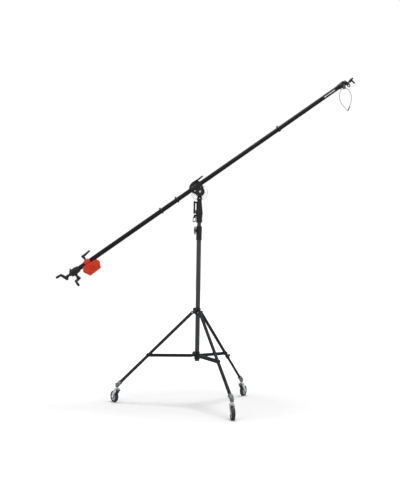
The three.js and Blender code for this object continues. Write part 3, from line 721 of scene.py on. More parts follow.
def column_knob(z):
    """A thick round knob with a finger-notched rim, on a steel screw."""
    body = lathe([
        (0, 29.4), (35.2, 29.4), (36.6, 30.6), (36.6, 34), (34, 38.8), (28, 42.6), (19, 44.8), (8, 45.2),
        (7, 44.3), (0, 44.3),
    ], 1.6, 80).along_x(z)
    for k in range(14):
        angle = 2 * math.pi * k / 14
        y, up = 38.4 * math.cos(angle), z + 38.4 * math.sin(angle)
        body -= hole(3, (28, y, up), (46, y, up), segments=20)
    body -= hole(4.1, (28, 0, z), (32, 0, z))
    show("column_knob", body, LEVER_SIDE)
    screw = bar(3.6, (18.6, 0, z), (31.6, 0, z), soft=0.4, segments=24)
    piece("column_knob_screw", screw, LEVER_SIDE, "column_knob", slot="zinc")


def first_riser():
    show("riser_1_tube", lathe(wall(17.5, 15.6, 440, 1672), 0.5, 64), STAND)
    ring = lathe([
        (17.9, 1617), (25.5, 1617), (26.6, 1619), (27.5, 1623), (27.5, 1650), (26.2, 1654), (26.2, 1656),
        (28.4, 1660), (29.5, 1684), (29, 1688), (27.6, 1690), (15.4, 1690), (15.4, 1673), (17.9, 1673),
        (17.9, 1617),
    ], 0.7, 72)
    lug = prism(hull((22, 1680, 8), (39, 1680, 7)), -4, 4, 0.8) - hole(22, (0, 0, 1600), (0, 0, 1700))
    rib = block((-1.6, 24, 1624), (1.6, 29, 1652), 0.7)
    ribs = joined(rib.copy().at(turn(rad(angle), "Z")) for angle in (-60, 0, 60, 120, 180, 240))
    show("riser_1_collar", ring + ribs + lug, LEVER_SIDE)
    pin = across(2.6, 39, 1680, 9, soft=0.5)
    heads = bar(4.2, (39, -9.6, 1680), (39, -8.3, 1680)) + bar(4.2, (39, 8.3, 1680), (39, 9.6, 1680))
    piece("riser_1_pin", pin + heads, LEVER_SIDE, "riser_1_collar", slot="black_steel")

    outline = [(31, 1621), (57, 1621), (57, 1656), (46, 1688), (36, 1688), (31, 1681)]
    window = [(36, 1629), (51, 1629), (51, 1655), (49, 1657), (36, 1657)]
    frame_shape = prism(soften(outline, 5, True, 4), -8, 8, 1.6)
    frame_shape -= prism(soften(window, 3, True, 4), -9, 9, 0)
    frame_shape -= block((25, -4.5, 1664), (60, 4.5, 1700), 0)
    frame_shape -= cross_hole(2.9, 39, 1680, 12)
    for z in (1632, 1638, 1644, 1650):
        frame_shape -= cross_hole(1.1, 57.4, z, 6, segments=14)
    show("riser_1_lever", frame_shape, LEVER_SIDE, material=MATERIAL["black_steel"])


def second_riser():
    show("riser_2_tube", lathe(wall(15, 13, 475, 1758), 0.5, 64), STAND)
    casting = lathe([
        (0, 1760), (15.4, 1760), (15.4, 1691), (30.6, 1691), (32.5, 1694), (32.2, 1700), (30, 1704),
        (29.6, 1716), (28.8, 1722), (27, 1740), (24.6, 1760), (23.2, 1772), (22.6, 1776), (23.4, 1779),
        (23, 1786), (21.4, 1796), (20.4, 1806), (20.2, 1811), (11, 1811), (11, 1838), (0, 1838),
    ], 0.9, 72)
    lug = prism(hull((18, 1796, 9), (45, 1796, 8)), -4, 4, 0.8) - hole(13, (0, 0, 1770), (0, 0, 1820))
    stop = block((26, -6.4, 1699), (33.2, 6.4, 1726), 1.2) - hole(16, (0, 0, 1680), (0, 0, 1740))
    fin = prism([(18, 1738), (26.6, 1738), (27.4, 1752), (26.6, 1786), (18, 1790)], -5, 5, 1)
    casting = casting + stop + (fin - hole(15, (0, 0, 1700), (0, 0, 1800)))
    for k in range(8):
        rib = prism([(24, 1706), (32.2, 1703), (30.4, 1722), (27.2, 1756), (24, 1768)], -1.3, 1.3, 0.5)
        casting = casting + rib.at(turn(rad(22.5 + 45 * k), "Z"))
    show("top_casting", casting + lug, LEVER_SIDE)
    pin = across(3, 45, 1796, 8, soft=0.5)
    heads = bar(5, (45, -9, 1796), (45, -7.8, 1796)) + bar(5, (45, 7.8, 1796), (45, 9, 1796))
    piece("top_lever_pin", pin + heads, LEVER_SIDE, "top_casting", slot="black_steel")

    outline = [
        (33.8, 1698), (44, 1695), (52, 1696), (53, 1720), (51.5, 1760), (53, 1800), (50, 1809), (38, 1809),
        (36.6, 1804), (36.6, 1734), (33.8, 1727),
    ]
    lever = prism(soften(outline, 4, True, 4), -7.5, 7.5, 2)
    lever -= block((20, -4.5, 1780), (60, 4.5, 1820), 0)
    lever -= cross_hole(3.3, 45, 1796, 12)
    for side in (-1, 1):
        lever -= block((42.5, side * 7.6 - 1.4, 1706), (48.5, side * 7.6 + 1.4, 1770), 0.6)
    show("top_lever", lever, LEVER_SIDE)


column()
column_collar()
first_riser()
second_riser()

# ------------------------------------------------------------------ tripod


def with_knob_boss(hub, radius, reach, z, core):
    """A hub with a drilled boss for its clamp knob."""
    to_knob = turn(KNOB_SIDE.to_euler().z, "Z")
    boss = bar(radius, (18, 0, z), (reach, 0, z)) - core.copy()
    drill = hole(4.3, (14, 0, z), (34, 0, z))
    return hub + boss.at(to_knob) - drill.at(to_knob)


def leg_hub():
    low, high, knob_z, pivot_z, pivot_r = 797, 856, 843, 816.9, 48
    hub = lathe([
        (20.5, low), (24.6, low), (26, low + 2), (26, low + 8), (25, low + 10), (25, 829), (26.2, 831),
        (26.2, 850), (25.4, high), (20.5, high), (20.5, low),
    ], 0.7, 72)
    core = hole(21, (0, 0, low - 10), (0, 0, high + 10), segments=64)
    for leg in LEGS:
        angle = azimuth(joint_at(f"leg_{leg}_fold"))
        for side in (-1, 1):
            y0, y1 = sorted((side * 13, side * 17.4))
            ear = prism(hull((20, pivot_z + 1, 12), (pivot_r, pivot_z, 12.6)), y0, y1, 1.0)
            hub = hub + (ear - core.copy()).at(turn(angle, "Z"))
        gusset = block((20, -14, pivot_z - 12), (29, 14, pivot_z + 11), 1.5) - core.copy()
        hub = hub + gusset.at(turn(angle, "Z"))
        pin = across(4, pivot_r, pivot_z, 17.4, soft=0.3)
        heads = hex_head(6.6, (pivot_r, 17.4, pivot_z), (pivot_r, 21, pivot_z))
        heads += hex_head(6.6, (pivot_r, -17.4, pivot_z), (pivot_r, -21, pivot_z))
        bolt = (pin + heads).at(turn(angle, "Z"))
        piece(f"leg_hub_bolt_{leg}", bolt, STAND, "leg_hub", slot="zinc")
    show("leg_hub", with_knob_boss(hub, 9, 28.5, knob_z, core), STAND)
    knob("leg_hub_knob", 20, 16, 32, 21.4, knob_z, KNOB_SIDE)


def brace_hub():
    low, high, knob_z, pivot_z, pivot_r = 404, 472, 458, 436.5, 34
    hub = lathe([
        (20.4, low), (24.4, low), (26.5, low + 3), (26.5, low + 8), (25.4, low + 10), (25.4, 441),
        (26.5, 443), (26.5, 446), (24, 449), (24, 469), (22.6, high), (20.4, high), (20.4, low),
    ], 0.7, 72)
    core = hole(20.8, (0, 0, low - 10), (0, 0, high + 10), segments=64)
    for leg in LEGS:
        angle = azimuth(joint_at(f"brace_{leg}_fold"))
        lug = prism(hull((22, pivot_z, 9), (pivot_r, pivot_z, 8)), -16.6, 16.6, 1.2) - core.copy()
        lug -= block((28, -7, pivot_z - 12), (50, 7, pivot_z + 12), 0)
        hub = hub + lug.at(turn(angle, "Z"))
        pin = across(4, pivot_r, pivot_z, 16.4, soft=0.3).at(turn(angle, "Z"))
        piece(f"brace_hub_pin_{leg}", pin, STAND, "brace_hub", slot="zinc")
    show("brace_hub", with_knob_boss(hub, 8, 27.5, knob_z, core), STAND)
    knob("brace_hub_knob", 20, 16, 31, 21.4, knob_z, KNOB_SIDE)


LEG_LENGTH = 920
CLIP_AT = 551.2
OUTER_END = 604


def leg(name):
    place = leg_frame(name)
    end = OUTER_END if name == "rear" else LEG_LENGTH
    tube = lathe(wall(13.8, 11.3, -end, 7), 0.4, 48)
    tube -= cross_hole(4.2, 0, 0, 20)
    show(f"leg_{name}", tube, place, material=MATERIAL["leg_black"])
    plug = lathe([(0, 3), (11.2, 3), (11.2, 7.2), (13.6, 7.2), (13.2, 8.6), (8, 9), (0, 9)], 0.5, 40)
    piece(f"leg_plug_{name}", plug, place, f"leg_{name}", slot="knob_black")

    ring = lathe(wall(15.7, 12.9, -CLIP_AT - 15, -CLIP_AT + 15), 0.9, 48)
    for z in (-CLIP_AT - 11, -CLIP_AT + 11):
        ring = ring + lathe(wall(16.3, 13.4, z - 2, z + 2), 0.6, 48)
    cross = across(8, 0, -CLIP_AT, 16.5, soft=0.8)
    cross -= hole(13.2, (0, 0, -CLIP_AT - 30), (0, 0, -CLIP_AT + 30), segments=48)
    tab = block((12, -4.5, -CLIP_AT - 10), (19, 4.5, -CLIP_AT + 10), 1.4)
    tab -= hole(13.2, (0, 0, -CLIP_AT - 30), (0, 0, -CLIP_AT + 30), segments=48)
    show(f"brace_clip_{name}", ring + cross + tab, place)
    if name == "rear":
        levelling_leg(place)
    socket(name)
    brace(name)
    caster(name)


def levelling_leg(place):
    tube = lathe(wall(11.2, 9.4, -LEG_LENGTH, -300), 0.4, 44)
    show("levelling_leg", tube, place, material=MATERIAL["leg_black"])
    low = -OUTER_END - 16
    knob_z = -OUTER_END - 8
    collar = lathe([
        (11.4, low), (14.8, low), (16.5, low + 3), (16.5, low + 30), (15.4, low + 32), (15.4, low + 34),
        (16.2, low + 36), (15.4, -OUTER_END + 24), (12.9, -OUTER_END + 24), (12.9, -OUTER_END - 1),
        (11.4, -OUTER_END - 1), (11.4, low),
    ], 0.6, 48)
    boss = bar(7, (11, 0, knob_z), (21, 0, knob_z)) - hole(14, (0, 0, low - 5), (0, 0, 0))
    show("levelling_clamp", collar + boss - hole(4.3, (8, 0, knob_z), (24, 0, knob_z)), place)
    knob("levelling_knob", 12, 13, 21.5, 12.4, knob_z, place)


STEM_RADIUS = 717
PIVOT = Vector((48, 0, 816.9))


def socket(name):
    up = Vector((-math.sin(LEAN), 0, math.cos(LEAN)))
    meet = Vector((STEM_RADIUS, 0, PIVOT.z - (STEM_RADIUS - PIVOT.x) / math.tan(LEAN)))
    to_end = (meet - PIVOT).length - LEG_LENGTH

    def at(distance, y=0.0):
        point = meet + up * distance
        return (point.x, y, point.z)

    held = 11 if name == "rear" else 12.5
    sleeve_end = to_end + 27
    body = bar(18, at(-4), at(sleeve_end), soft=2, segments=48)
    body += bar(19.4, at(sleeve_end - 12), at(sleeve_end - 1.5), soft=1.6, segments=48)
    body += bar(15, (STEM_RADIUS, 0, 137), (STEM_RADIUS, 0, 174), soft=2.2, segments=48)
    body += bar(16.4, (STEM_RADIUS, 0, 137.6), (STEM_RADIUS, 0, 142), soft=1, segments=48)
    body += bar(8, at(to_end + 12, -22.6), at(to_end + 12, 22.6), soft=1.6, segments=32)
    body -= hole(held + 0.4, at(to_end - 1), at(to_end + 90), segments=48)
    body -= hole(5.9, (STEM_RADIUS, 0, 130), (STEM_RADIUS, 0, 167))
    place = radial_frame(name)
    node = f"caster_socket_{name}"
    show(node, body, place)
    bolts = [hex_head(5, at(to_end + 12, side * 22.3), at(to_end + 12, side * 25.4)) for side in (-1, 1)]
    piece(f"socket_bolts_{name}", joined(bolts), place, node, slot="zinc")


def brace(name):
    place = brace_frame(name)
    length, web = 405.2, 215
    outline = soften([(-8, -4), (-4, -8), (20, -12.6), (length, -12.6)], 3, False, 3)
    outline += circle(12.6, 12, (length, 0), rad(-80), rad(80))
    outline += soften([(length, 12.6), (20, 12.6), (-4, 8), (-8, 4)], 3, False, 3)
    channel = prism(outline, -19, 19, 1.6)
    channel -= block((-30, -17, -40), (length + 40, 17, 10.6), 0)
    channel -= block((web, -17, 0), (length + 40, 17, 30), 0)
    channel -= block((-40, -17, 0), (14, 17, 30), 0)
    channel -= prism(hull((70, 14.2, 3), (190, 14.2, 3)), -5, 5, 0.8)
    for t, radius in ((0, 5), (length, 6)):
        for side in (-1, 1):
            channel += bar(radius, (t, side * 17.1, 0), (t, side * 21.8, 0), radius * 0.62, soft=1.2)
    show(f"brace_{name}", channel, place, material=MATERIAL["leg_black"])


def caster(name):
    place = caster_frame(name)
    trail, radius, half = 45, 50, 14.5
    fork_top = 127
    inner, outer = half + 2.6, half + 5.0
    outline = [
        (-15, 103), (-15, 124), (16, 124), (30, 104), (56, 62), (56, 48), (50, 41), (40, 41), (34, 47),
        (21, 70), (-8, 92),
    ]
    cheeks = []
    for side in (-1, 1):
        y0, y1 = sorted((side * inner, side * outer))
        cheeks.append(prism(soften(outline, 6, True, 4), y0, y1, 0.5) - cross_hole(6, 8, 108, 30))
    fork = joined(cheeks)
    fork += block((-15, -outer, 120.6), (16, outer, 124.2), 1.4)
    fork += block((13.4, -outer, 104.4), (16.4, outer, 124.2), 1.2)
    fork += lathe([
        (0, 122), (14.5, 122), (17.4, 123.6), (17.4, 126.4), (16, 128), (15.6, 129.6), (13, 131), (0, 131),
    ], 0.5, 48)
    fork += bar(5.5, (0, 0, 128), (0, 0, 163), soft=0.6)
    node = f"caster_fork_{name}"
    show(node, fork, place)
    axle = hole(4, (trail, -outer - 0.2, radius), (trail, outer + 0.2, radius))
    axle += hex_head(6.8, (trail, -outer, radius), (trail, -outer - 3.4, radius))
    axle += hex_head(6.8, (trail, outer, radius), (trail, outer + 3.4, radius))
    axle += bar(3, (0, -outer - 1, 101), (0, outer + 1, 101), soft=0.5)
    for side in (-1, 1):
        axle += bar(5, (0, side * outer, 101), (0, side * (outer + 1.6), 101), 3.6, soft=0.5)
    piece(f"caster_axle_{name}", axle, place, node, MATERIAL["bright"], slot="zinc")

    wheel_place = place @ Matrix.Translation((trail, 0, radius)) @ turn(math.pi / 2, "X")
    tread = [
        (37.4, -9.6), (39, -13), (42, -15.3), (45, -15.8), (47.8, -14.6), (49.2, -12), (49.8, -8), (50, -3.4),
        (49.3, -3.0), (49.3, -2.2), (50, -1.8),
    ]
    mirrored = [(r, -z) for r, z in reversed(tread)]
    show(f"caster_tyre_{name}", lathe(tread + mirrored + [tread[0]], 0.5, 96), wheel_place, angle=24)
    hub = lathe([
        (4.4, -16), (8.4, -16), (11, -14.6), (12.4, -8), (14, -6.4), (29.6, -5.4), (32, -9), (33, -10.5),
        (37, -10.5), (37, 10.5), (33, 10.5), (32, 9), (29.6, 5.4), (14, 6.4), (12.4, 8), (11, 14.6),
        (8.4, 16), (4.4, 16), (4.4, -16),
    ], 0.6, 72)
    for k in range(6):
        hub += block((11, -1.3, -9.2), (33.4, 1.3, 9.2), 0.6).at(turn(rad(60 * k), "Z"))
    show(f"caster_wheel_{name}", hub, wheel_place)

    pedal_outline = [
        (-5, 96), (-4.5, 107.4), (-14, 108.4), (-33, 113.6), (-40.5, 116), (-43, 113), (-34, 107),
        (-18, 99), (-12.6, 88), (-11.8, 83.6), (-0.4, 82.6),
    ]
    pedal = prism(soften(pedal_outline, 2.4, True, 3), -13, 13, 1.2)
    pedal += across(6.5, 0, 101, 13, soft=0.8)
    pedal -= cross_hole(3.4, 0, 101, 20)
    for k in range(4):
        t = 0.2 + 0.22 * k
        x, z = -15 - 24 * t, 108.6 + 7.4 * t
        pedal += across(0.9, x, z, 11.4, soft=0.4, segments=12)
    show(f"brake_pedal_{name}", pedal, place)


leg_hub()
brace_hub()
for leg_name in LEGS:
    leg(leg_name)

# ------------------------------------------------------------------ tilting head


def knuckle():
    axle_z = 1892
    boss = lathe(
        [(0, 1812), (20, 1812), (22, 1815), (22, 1838), (20.6, 1844), (17, 1848), (0, 1848)], 1.0, 64
    )
    tongue_outline = [(-18, 1830), (18, 1830), (18, 1868), (23, 1880)]
    tongue_outline += circle(26, 26, (0, axle_z), rad(-16), rad(196))
    tongue_outline += [(-23, 1880), (-18, 1868)]
    body = boss + prism(soften(tongue_outline, 5, True, 3), -12.4, 12.4, 1.2)
    body += bar(6.2, (-2, -24, 1832), (-2, -8, 1832), soft=0.8)
    body -= block((-40, 12.4, 1800), (40, 40, 1940), 0)
    body -= hole(11.4, (0, 0, 1806), (0, 0, 1839))
    body -= cross_hole(8.4, 0, axle_z, 40, segments=40)
    show("boom_knuckle", body, STAND)
    screw = bar(4.4, (-2, -25, 1832), (-2, -23.6, 1832), soft=0.4)
    screw += hex_head(2.6, (-2, -23.8, 1832), (-2, -25.6, 1832))
    piece("knuckle_screw", screw, STAND, "boom_knuckle", slot="zinc")

    bolt = bar(8, (0, -22.6, axle_z), (0, 27.6, axle_z), soft=0.4, segments=40)
    bolt += bar(9.6, (0, -24, axle_z), (0, -22.4, axle_z), soft=0.5, segments=48)
    bolt += hex_head(8, (0, -23.8, axle_z), (0, -28.4, axle_z))
    bolt += bar(14, (0, 26.4, axle_z), (0, 28, axle_z), soft=0.5, segments=48)
    bolt += hex_head(12.6, (0, 27.8, axle_z), (0, 35, axle_z))
    bolt += bar(6.6, (0, 34, axle_z), (0, 36, axle_z), soft=0.6)
    show("tilt_bolt", bolt, STAND, material=MATERIAL["zinc"])


TUBE_Z = 56


def boom_clamp():
    front0, front1, back0, back1 = -22, -12.9, 17.4, 26
    cheek = circle(42, 34, (0, 0), rad(186), rad(354))
    cheek = [(53, 62), (-60, 62), (-60, 34), *cheek, (53, 34)]
    front = prism(soften(cheek, 6, True, 3), front0, front1, 1.4)
    front -= hole(34, (0, front0 + 1.6, 0), (0, front0 - 1, 0), segments=56)
    front += bar(15, (0, front0, 0), (0, front0 + 4, 0), soft=0.8, segments=48)
    back = [(53, 62), (-60, 62), (-60, 40), *circle(30, 26, (0, 0), rad(190), rad(350)), (53, 40)]
    body = front + prism(soften(back, 6, True, 3), back0, back1, 1.4)
    sleeve = lathe([
        (0, -60), (26, -60), (28.4, -57), (29, -52), (29, -34), (28.2, -32), (28.2, 26), (29, 28), (29, 46),
        (28.4, 50), (26, 53), (0, 53),
    ], 1.0, 72).along_x(TUBE_Z)
    body += sleeve
    hump = [(-54, 66), (-54, 82), (-47, 93), (-28, 103.6), (2, 108.6), (28, 105.6), (44, 98), (44, 66)]
    body += prism(soften(hump, 8, True, 4), -15, 15, 2.6)
    body -= hole(20.4, (-80, 0, TUBE_Z), (80, 0, TUBE_Z), segments=72)
    body -= hole(30, (0, front1, 0), (0, back0, 0), segments=56)
    body -= block((-80, front1 - 0.1, -50), (80, back0, 27), 0)
    body -= block((-70, -1, 70), (60, 1, 100), 0)
    body -= cross_hole(8.4, 0, 0, 40, segments=40)
    body -= hole(3.4, (34, -20, 99), (34, -2, 99))
    show("boom_clamp", body, BOOM)
    for k, (x, z, radius, steel) in enumerate(((-34, 30, 6.6, "zinc"), (29, 29, 6, "cast_grey"))):
        stud = bar(radius, (x, front0 + 0.6, z), (x, front0 - 2.2, z), radius * 0.86, soft=0.6)
        stud -= hole(2.8, (x, front0 - 3, z), (x, front0 - 0.8, z), segments=6)
        piece(f"clamp_screw_{k}", stud, BOOM, "boom_clamp", slot=steel)
    plate = bar(32.6, (0, front0 + 1.7, 0), (0, front0 + 0.5, 0), soft=0.4, segments=72)
    plate -= hole(16, (0, -40, 0), (0, 0, 0), segments=48)
    for angle in (70, 190, 310):
        x, z = 24 * math.cos(rad(angle)), 24 * math.sin(rad(angle))
        plate += bar(3, (x, front0 + 1, z), (x, front0 - 0.6, z), soft=0.4, segments=20)
    piece("clamp_face_plate", plate, BOOM, "boom_clamp", MATERIAL["plate_dark"], slot="black_steel")

    handle = bar(3, (34, -16, 99), (34, -5, 99), soft=0.3)
    handle += bar(8, (34, -24.4, 99), (34, -15.7, 99), soft=1.4, segments=36)
    handle += sweep(
        [(34, -23.6, 96), (58, -23.6, 97.4), (80, -23.6, 99), (96, -23.6, 100.4)], [7.6, 8, 7.4, 6.2]
    )
    handle += ball(6.4, (96, -23.6, 100.4))
    show("clamp_lever", handle, BOOM, material=MATERIAL["black_steel"])

    disc = bar(73.9, (0, 13.2, 0), (0, 17, 0), soft=0.5, segments=128)
    disc -= block((-90, 0, 26), (90, 40, 90), 0)
    disc -= hole(8.4, (0, 0, 0), (0, 40, 0), segments=40)
    for angle in (-155, -120, -60, -25, 0):
        x, z = 58 * math.cos(rad(angle)), 58 * math.sin(rad(angle))
        disc -= hole(8, (x, 0, z), (x, 40, z), segments=36)
    for groove in (36, 50):
        for y0, y1 in ((12.6, 13.6), (16.6, 17.6)):
            disc -= lathe(wall(groove + 0.7, groove - 0.7, -y1, -y0), 0.2, 72).at(turn(math.pi / 2, "X"))
    show("friction_disc", disc, BOOM)
    lining = lathe(wall(75, 72.6, -17.6, -12.6), 0.3, 128).at(turn(math.pi / 2, "X"))
    lining -= block((-90, 0, 26), (90, 40, 90), 0)
    piece("disc_rim", lining, BOOM, "friction_disc", MATERIAL["rim_dark"], slot="cast_black")


knuckle()
boom_clamp()

# ------------------------------------------------------------------ boom and its fittings


def turned_arc(points):
    """Carries an arc below the tube's axis round to the tube's front."""
    return [(TUBE_Z - z, TUBE_Z + y) for y, z in points]


def boom_tube():
    tube = lathe(wall(20, 18, -1290, 1672), 0.5, 72).along_x(TUBE_Z)
    show("boom_tube", tube, BOOM)
    arc = circle(20.3, 9, (0, TUBE_Z), rad(-102), rad(-84))
    arc += circle(19.8, 9, (0, TUBE_Z), rad(-84), rad(-102))
    band = prism(turned_arc(arc), 1466, 1592, 0).at(turn(-math.pi / 2, "Z"))
    piece("boom_stripe", band, BOOM, "boom_tube", MATERIAL["stripe"], slot="hub_grey")
    rings = {
        "tail_stop_ring": (-381, 7, 26),
        "clamp_stop_ring": (-209, 7, 26),
        "tip_stop_ring": (938, 7.5, 27),
    }
    for name, (x, half, outer) in rings.items():
        ring = lathe([
            (20.4, x - half), (outer - 1.4, x - half), (outer, x - half + 1.6), (outer, x - 1),
            (outer - 0.7, x), (outer, x + 1), (outer, x + half - 1.6), (outer - 1.4, x + half),
            (20.4, x + half), (20.4, x - half),
        ], 0.4, 72).along_x(TUBE_Z)
        top = TUBE_Z + outer
        ring = ring + block((x - half, -8, top - 5), (x + half, 8, top + 6), 1.2)
        ring = ring - block((x - half - 2, -1, TUBE_Z + 19), (x + half + 2, 1, top + 8), 0)
        ring = ring - hole(20.4, (x - 20, 0, TUBE_Z), (x + 20, 0, TUBE_Z), segments=72)
        show(name, ring, BOOM)
        screw = across(1.6, x, top + 1.6, 9, soft=0.2, segments=16)
        screw += bar(2.9, (x, -10.6, top + 1.6), (x, -7.9, top + 1.6), soft=0.4, segments=20)
        piece(name + "_screw", screw, BOOM, name, slot="zinc")


def handle_grip(start, end, radius):
    """A turned crank grip between two points, a little fuller towards its end."""
    length = (Vector(end) - Vector(start)).length
    profile = [
        (0, 0), (radius * 0.78, 0), (radius * 0.8, 2), (radius * 0.95, length * 0.3),
        (radius, length * 0.66), (radius * 0.94, length * 0.86), (radius * 0.6, length - 0.6), (0, length),
    ]
    return lathe(profile, 2.4, 40).at(aimed(start, end))


CRANK_SHAFT = 8


def tail_gearbox():
    housing = lathe([
        (0, -1366), (12, -1366), (13, -1364), (15, -1354), (17, -1351.6), (24.6, -1349), (29, -1343),
        (31, -1338), (31, -1331), (29.9, -1329), (29.9, -1326), (31, -1324), (31, -1290), (30, -1285),
        (28, -1272), (26.4, -1268), (25.5, -1265), (25.5, -1262), (20.4, -1262), (20.4, -1291), (0, -1291),
    ], 1.2, 72).along_x(TUBE_Z)
    body = housing + bar(7, (-1328, 0, 80), (-1328, 0, 100), 5.6, soft=1.6)
    body += bar(13, (-1314, 0, 36), (-1314, 0, 15), soft=1.6, segments=44)
    screw_places = [(y, TUBE_Z + z) for y, z in circle(21, 6, (0, 0), rad(30), rad(330))]
    for y, z in screw_places:
        body -= hole(3, (-1353, y, z), (-1347.6, y, z), segments=20)
    body -= hole(CRANK_SHAFT + 0.4, (-1380, 0, TUBE_Z), (-1340, 0, TUBE_Z))
    body -= hole(CRANK_SHAFT + 0.4, (-1314, 0, 5), (-1314, 0, 40))
    show("tail_gearbox", body, BOOM)
    screws = [bar(2.7, (-1351.4, y, z), (-1345, y, z), soft=0.4, segments=18) for y, z in screw_places]
    piece("gearbox_screws", joined(screws), BOOM, "tail_gearbox", slot="zinc")

    z = TUBE_Z
    crank = bar(CRANK_SHAFT, (-1342, 0, z), (-1397, 0, z), soft=0.5)
    crank += bar(13.6, (-1370, 0, z), (-1409, 0, z), 12.4, soft=1.6, segments=36)
    arm = [(-1396, 0, z - 17), (-1402, 0, z), (-1412, 0, z + 24), (-1421, 0, z + 43)]
    crank += sweep(arm, [12.6, 13.6, 13, 11.4])
    crank += ball(13.2, (-1396, 0, z - 14.6))
    crank += ball(11.8, (-1421.6, 0, z + 40.2))
    crank += handle_grip((-1422, 0, z + 42), (-1470, 0, z + 45), 11)
    show("pan_crank", crank, BOOM)

    x = -1314
    crank = bar(CRANK_SHAFT, (x, 0, 38), (x, 0, -16), soft=0.5)
    crank += bar(13, (x, 0, 11), (x, 0, -26), 12, soft=1.6, segments=36)
    arm = [(x + 8, 9, -15), (x, 0, -15.6), (x - 17, -19, -17.6), (x - 34, -38, -19)]
    crank += sweep(arm, [12.4, 13, 12.2, 11])
    crank += ball(12, (x + 8, 9, -15))
    crank += ball(10.8, (x - 34, -38, -19.4))
    crank += handle_grip((x - 34, -38, -21), (x - 34, -38, -69.6), 10.8)
    show("tilt_crank", crank, BOOM)


def counterweight():
    middle = -1174
    outline = [
        (-1229, 48), (-1251, 7), (-1218, -54), (-1107, -49), (-1081, 6), (-1092, 34), (-1112, 40),
    ]
    slab = prism(soften(outline, 7, True, 4), -31, 31, 5)
    dish = [(0, -36), (24, -36), (24, -29.4), (20, -28), (0, -28)]
    for side in (-1, 1):
        slab -= lathe(dish, 0.8, 56).at(Matrix.Translation((-1166, 0, -6)) @ turn(side * math.pi / 2, "X"))
    saddle = lathe([
        (0, middle - 27), (25.6, middle - 27), (27.6, middle - 24), (28, middle - 10), (28, middle + 10),
        (27.6, middle + 24), (25.6, middle + 27), (0, middle + 27),
    ], 1.2, 72).along_x(TUBE_Z)
    body = slab + saddle + bar(11, (middle, 0, 76), (middle, 0, 89), soft=1.4, segments=40)
    body -= hole(20.6, (-1290, 0, TUBE_Z), (-1030, 0, TUBE_Z), segments=72)
    body -= hole(4.4, (middle, 0, 60), (middle, 0, 95))
    show("counterweight", body, BOOM)
    lever = bar(4, (middle, 0, 77.5), (middle, 0, 122), soft=0.4)
    lever += lathe([(0, 89.6), (9.2, 89.6), (10, 91), (10, 94.6), (8.4, 97), (0, 97)], 0.6, 40).move(middle)
    lever += lathe(
        [(0, 95), (10.6, 95), (10, 104), (11, 110), (13.6, 116), (13.6, 127), (10, 133.4), (0, 134.4)], 2, 40
    ).move(middle)
    arm = [(middle, 0, 121.6), (middle + 22, 0, 122.6), (-1122, 0, 126.6), (-1104, 0, 128.6)]
    lever += sweep(arm, [11, 10.2, 8.8, 7.6])
    lever += ball(8, (-1104, 0, 128.6))
    show("weight_lever", lever, BOOM)


# ------------------------------------------------------------------ tip head

PAN_Z = 52
FACE = 1711
TILT_X = 1750
TILT_Z = 36


def tip_head():
    sleeve = lathe([
        (0, 1673), (20.4, 1673), (20.4, 1645), (22.8, 1645), (24, 1647), (25, 1651), (25, 1655),
        (24.3, 1656), (24.3, 1658), (25, 1659), (25, 1684), (23, 1687), (0, 1687),
    ], 0.8, 72).along_x(TUBE_Z)
    nose = bar(18, (1696, 0, PAN_Z), (FACE, 0, PAN_Z), soft=1.2, segments=56)
    cover = [(1649, 70), (1653, 77), (1676, 81), (1698, 82), (FACE, 81), (FACE, 62), (1690, 60)]
    body = sleeve + nose + prism(soften(cover, 3, True, 3), -17, 17, 4)
    body -= hole(20.4, (1600, 0, TUBE_Z), (1673, 0, TUBE_Z), segments=64)
    body += bar(4, (1655, 0, 34), (1655, 0, 22.4), soft=1)
    body += bar(4, (1694, 0, 14), (1699.6, 0, 5), soft=1)
    plate = circle(20, 30, (0, 45), 0, math.pi) + circle(20, 30, (0, 30), math.pi, 2 * math.pi)
    flange = prism(plate, 1678, 1699, 1.6).at(turn(-math.pi / 2, "Z"))
    body -= hole(5.4, (FACE - 12, 0, PAN_Z), (FACE + 5, 0, PAN_Z))
    show("tip_head", body, BOOM, material=MATERIAL["cast_black"])
    piece("tip_flange", flange, BOOM, "tip_head", MATERIAL["flange"], slot="cast_grey")
    corners = [(y, z) for y in (-13, 13) for z in (24, 52)]
    screws = [bar(2.8, (1698, y, z), (1701.4, y, z), soft=0.5, segments=20) for y, z in corners]
    piece("tip_flange_screws", joined(screws), BOOM, "tip_head", slot="zinc")


def tip_yoke():
    body = bar(5, (FACE - 11, 0, PAN_Z), (FACE + 4, 0, PAN_Z), soft=0.4)
    body += lathe([
        (0, FACE + 0.6), (20.6, FACE + 0.6), (22, FACE + 2.4), (22, 1719), (20.6, 1721), (20.6, 1723),
        (22, 1725), (22, 1730), (19, 1735), (0, 1735),
    ], 0.6, 64).along_x(PAN_Z)
    body += block((1724, -13, 28), (1734, 13, 52), 1.6)
    for side in (-1, 1):
        y0, y1 = sorted((side * 8.8, side * 14))
        body += prism(hull((1731, TILT_Z + 2, 13), (TILT_X, TILT_Z, 11)), y0, y1, 1)
    body += lathe([(0, 66), (3.6, 66), (3.6, 76), (3, 79), (0, 79)], 0.6, 28).move(1727)
    ring_profile = [(11 + 4.8 * math.cos(a), 4.8 * math.sin(a)) for a in (rad(d) for d in range(0, 360, 24))]
    ring = lathe([*ring_profile, ring_profile[0]], 0, 48).at(
        Matrix.Translation((1737, 0, 14)) @ turn(math.pi / 2, "X")
    )
    body += ring
    show("tip_yoke", body, BOOM)
    pin = across(3.5, TILT_X, TILT_Z, 15, soft=0.4)
    pin += hex_head(5.4, (TILT_X, -13, TILT_Z), (TILT_X, -16.6, TILT_Z))
    pin += hex_head(5.4, (TILT_X, 13, TILT_Z), (TILT_X, 16.6, TILT_Z))
    piece("tip_yoke_pin", pin, BOOM, "tip_yoke", slot="zinc")


